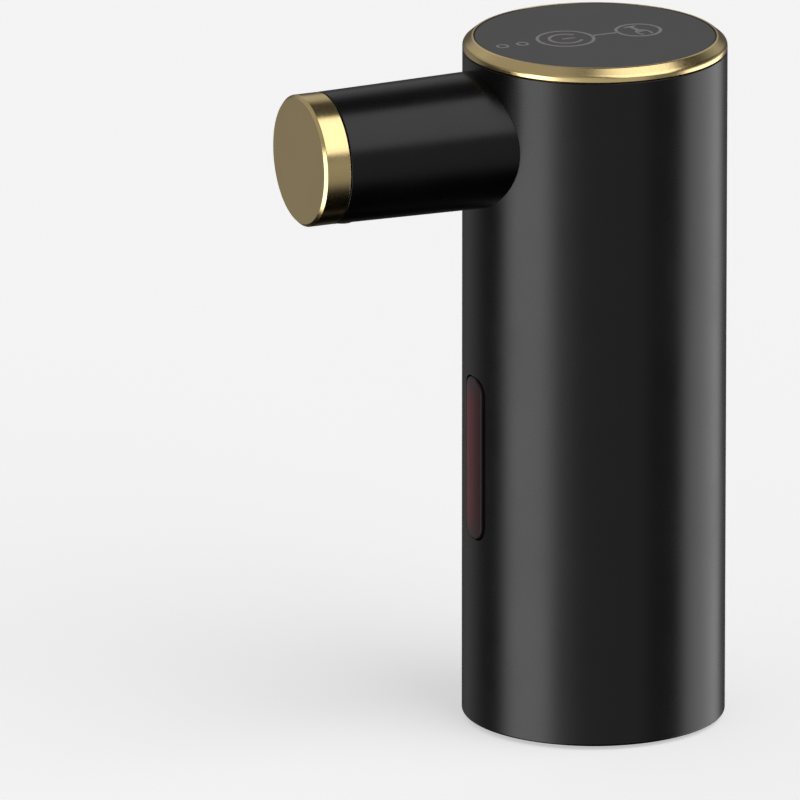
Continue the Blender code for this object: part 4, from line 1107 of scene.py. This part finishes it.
# ------------------------------------------------------------------ floor and light
FLOOR_R = 30.0
bm = bmesh.new()
bmesh.ops.create_circle(bm, cap_ends=True, segments=96, radius=FLOOR_R)
floor_me = bpy.data.meshes.new("floor")
bm.to_mesh(floor_me)
bm.free()
floor = link(bpy.data.objects.new("floor", floor_me))
floor.location = (0.0, 0.0, -0.00002)
ft = Tree("pale_floor")
cloud = ft.noise(0.8, 3.0, 0.5)
floor_color = ft.mix(cloud, (0.80, 0.80, 0.80), (0.82, 0.82, 0.82))
ft.set(Roughness=1.0, Specular_IOR_Level=0.0)
ft.link(floor_color, ft.bsdf.inputs["Base Color"])
ft.bsdf.inputs["Emission Color"].default_value = (1.0, 1.0, 1.0, 1.0)
ft.bsdf.inputs["Emission Strength"].default_value = 0.50
floor_me.materials.append(ft.mat)
floor.visible_glossy = False
floor.visible_diffuse = False
floor.visible_shadow = False

world = bpy.data.worlds.new("studio")
bpy.context.scene.world = world
world.use_nodes = True
wt = world.node_tree
for n in list(wt.nodes):
    wt.nodes.remove(n)


def wnode(kind, **settings):
    n = wt.nodes.new(kind)
    for k, v in settings.items():
        setattr(n, k, v)
    return n


def wmath(op, a, b=None):
    n = wnode("ShaderNodeMath", operation=op)
    for i, v in enumerate((a, b)):
        if v is None:
            continue
        if isinstance(v, (int, float)):
            n.inputs[i].default_value = v
        else:
            wt.links.new(v, n.inputs[i])
    return n.outputs[0]


def wstep(value, a, b, out0=0.0, out1=1.0):
    n = wnode("ShaderNodeMapRange", interpolation_type="SMOOTHSTEP")
    for k, v in zip(("From Min", "From Max", "To Min", "To Max"), (a, b, out0, out1)):
        n.inputs[k].default_value = v
    wt.links.new(value, n.inputs["Value"])
    return n.outputs["Result"]


direction = wnode("ShaderNodeTexCoord").outputs["Generated"]
sep = wnode("ShaderNodeSeparateXYZ")
wt.links.new(direction, sep.inputs["Vector"])
dx, dy, dz = sep.outputs
elevation = wmath("MULTIPLY", wmath("ARCSINE", dz), 180.0 / math.pi)
ca, sa = math.sin(AZ), -math.cos(AZ)      # level direction towards the camera at rest


def softbox(az, el, half_az, half_el, soft_az, soft_el, level):
    """Soft lit patch of the studio: az is counted from the camera's side, to the right."""
    a = math.radians(az)
    rx, ry = -sa, ca                       # level direction to the camera's right
    fx, fy = ca * math.cos(a) + rx * math.sin(a), sa * math.cos(a) + ry * math.sin(a)
    gx, gy = -fy, fx
    along = wmath("ADD", wmath("MULTIPLY", dx, fx), wmath("MULTIPLY", dy, fy))
    across = wmath("ADD", wmath("MULTIPLY", dx, gx), wmath("MULTIPLY", dy, gy))
    turn = wmath("MULTIPLY", wmath("ABSOLUTE", wmath("ARCTAN2", across, along)), 180.0 / math.pi)
    wa = wstep(turn, half_az + soft_az, half_az - soft_az)
    off = wmath("ABSOLUTE", wmath("SUBTRACT", elevation, el))
    we = wstep(off, half_el + soft_el, half_el - soft_el)
    return wmath("MULTIPLY", wmath("MULTIPLY", wa, we), level)


def wdot(vec):
    n = wnode("ShaderNodeVectorMath", operation="DOT_PRODUCT")
    wt.links.new(direction, n.inputs[0])
    n.inputs[1].default_value = vec
    return n.outputs["Value"]


def flatbox(az, el, half_u, half_v, soft, level, twist=0.0, slide=0.0, lift=0.0):
    """Soft flat square light; its half sizes are tangents seen from the object."""
    a, e = math.radians(az), math.radians(el)
    t, r, z = np.array((ca, sa, 0.0)), np.array((-sa, ca, 0.0)), np.array((0.0, 0.0, 1.0))
    c = math.cos(e) * (math.cos(a) * t + math.sin(a) * r) + math.sin(e) * z
    e1 = -math.sin(a) * t + math.cos(a) * r
    e2 = -math.sin(e) * (math.cos(a) * t + math.sin(a) * r) + math.cos(e) * z
    near = wdot(tuple(c))
    safe = wmath("MAXIMUM", near, 0.02)
    ct, st = math.cos(math.radians(twist)), math.sin(math.radians(twist))
    e1, e2 = ct * e1 - st * e2, st * e1 + ct * e2
    u = wmath("ABSOLUTE", wmath("SUBTRACT", wmath("DIVIDE", wdot(tuple(e1)), safe), slide))
    v = wmath("ABSOLUTE", wmath("SUBTRACT", wmath("DIVIDE", wdot(tuple(e2)), safe), lift))
    mask = wmath("MULTIPLY", wstep(u, half_u + soft, half_u - soft), wstep(v, half_v + soft, half_v - soft))
    return wmath("MULTIPLY", wmath("MULTIPLY", mask, wstep(near, 0.02, 0.12)), level)


base = wmath("MULTIPLY", wstep(elevation, -52.0, -24.0, 0.0, 0.08), wstep(elevation, 8.0, 32.0, 1.0, 0.62))
strip = wmath("MULTIPLY", softbox(-61.0, -21.0, 22.5, 33.0, 11.0, 6.0, 2.78),
              wmath("SUBTRACT", 1.0, softbox(-76.0, 14.0, 16.0, 19.5, 8.0, 4.0, 0.93)))
strip_2 = wmath("MULTIPLY", softbox(112.5, -14.0, 28.0, 28.0, 10.0, 8.0, 1.72),
                wmath("SUBTRACT", 1.0, softbox(112.5, 15.0, 46.0, 15.5, 6.0, 3.5, 0.86)))
boxes = [
    strip,                                                 # tall strip, front left, lower at its outer side
    softbox(-33.0, -16.0, 11.0, 30.0, 13.0, 8.0, 0.52),    # its spill towards the middle
    softbox(-14.0, 30.0, 26.0, 13.0, 8.0, 9.0, 0.36),      # small box above the camera
    strip_2,                                               # tall strip, back right
    flatbox(55.0, 52.0, 0.47, 0.6075, 0.09, 1.45, 20.8, 0.05, -0.0175),  # large box, upper right
    softbox(8.0, -8.0, 38.0, 24.0, 9.0, 10.0, 0.34),       # fill from the camera's side
    softbox(58.0, -12.0, 15.0, 22.0, 8.0, 10.0, 0.09),     # its edge
    softbox(-136.0, -14.0, 18.0, 24.0, 12.0, 10.0, 0.155), # fill, back left
    softbox(180.0, 28.0, 38.0, 14.0, 12.0, 9.0, 0.39),     # low box behind
    flatbox(-95.0, 50.0, 0.9, 0.65, 0.25, 0.29),           # fill, upper left
]
total = base
for b in boxes:
    total = wmath("ADD", total, b)
light_path = wnode("ShaderNodeLightPath")
studio = wnode("ShaderNodeBackground")
wt.links.new(total, studio.inputs["Strength"])
studio.inputs["Color"].default_value = (1.0, 0.975, 0.985, 1.0)
backdrop = wnode("ShaderNodeBackground")
backdrop.inputs["Color"].default_value = (1.0, 0.993, 0.993, 1.0)
backdrop.inputs["Strength"].default_value = 0.92
mixed = wnode("ShaderNodeMixShader")
wt.links.new(light_path.outputs["Is Camera Ray"], mixed.inputs[0])
wt.links.new(studio.outputs[0], mixed.inputs[1])
wt.links.new(backdrop.outputs[0], mixed.inputs[2])
world_out = wnode("ShaderNodeOutputWorld")
wt.links.new(mixed.outputs[0], world_out.inputs["Surface"])
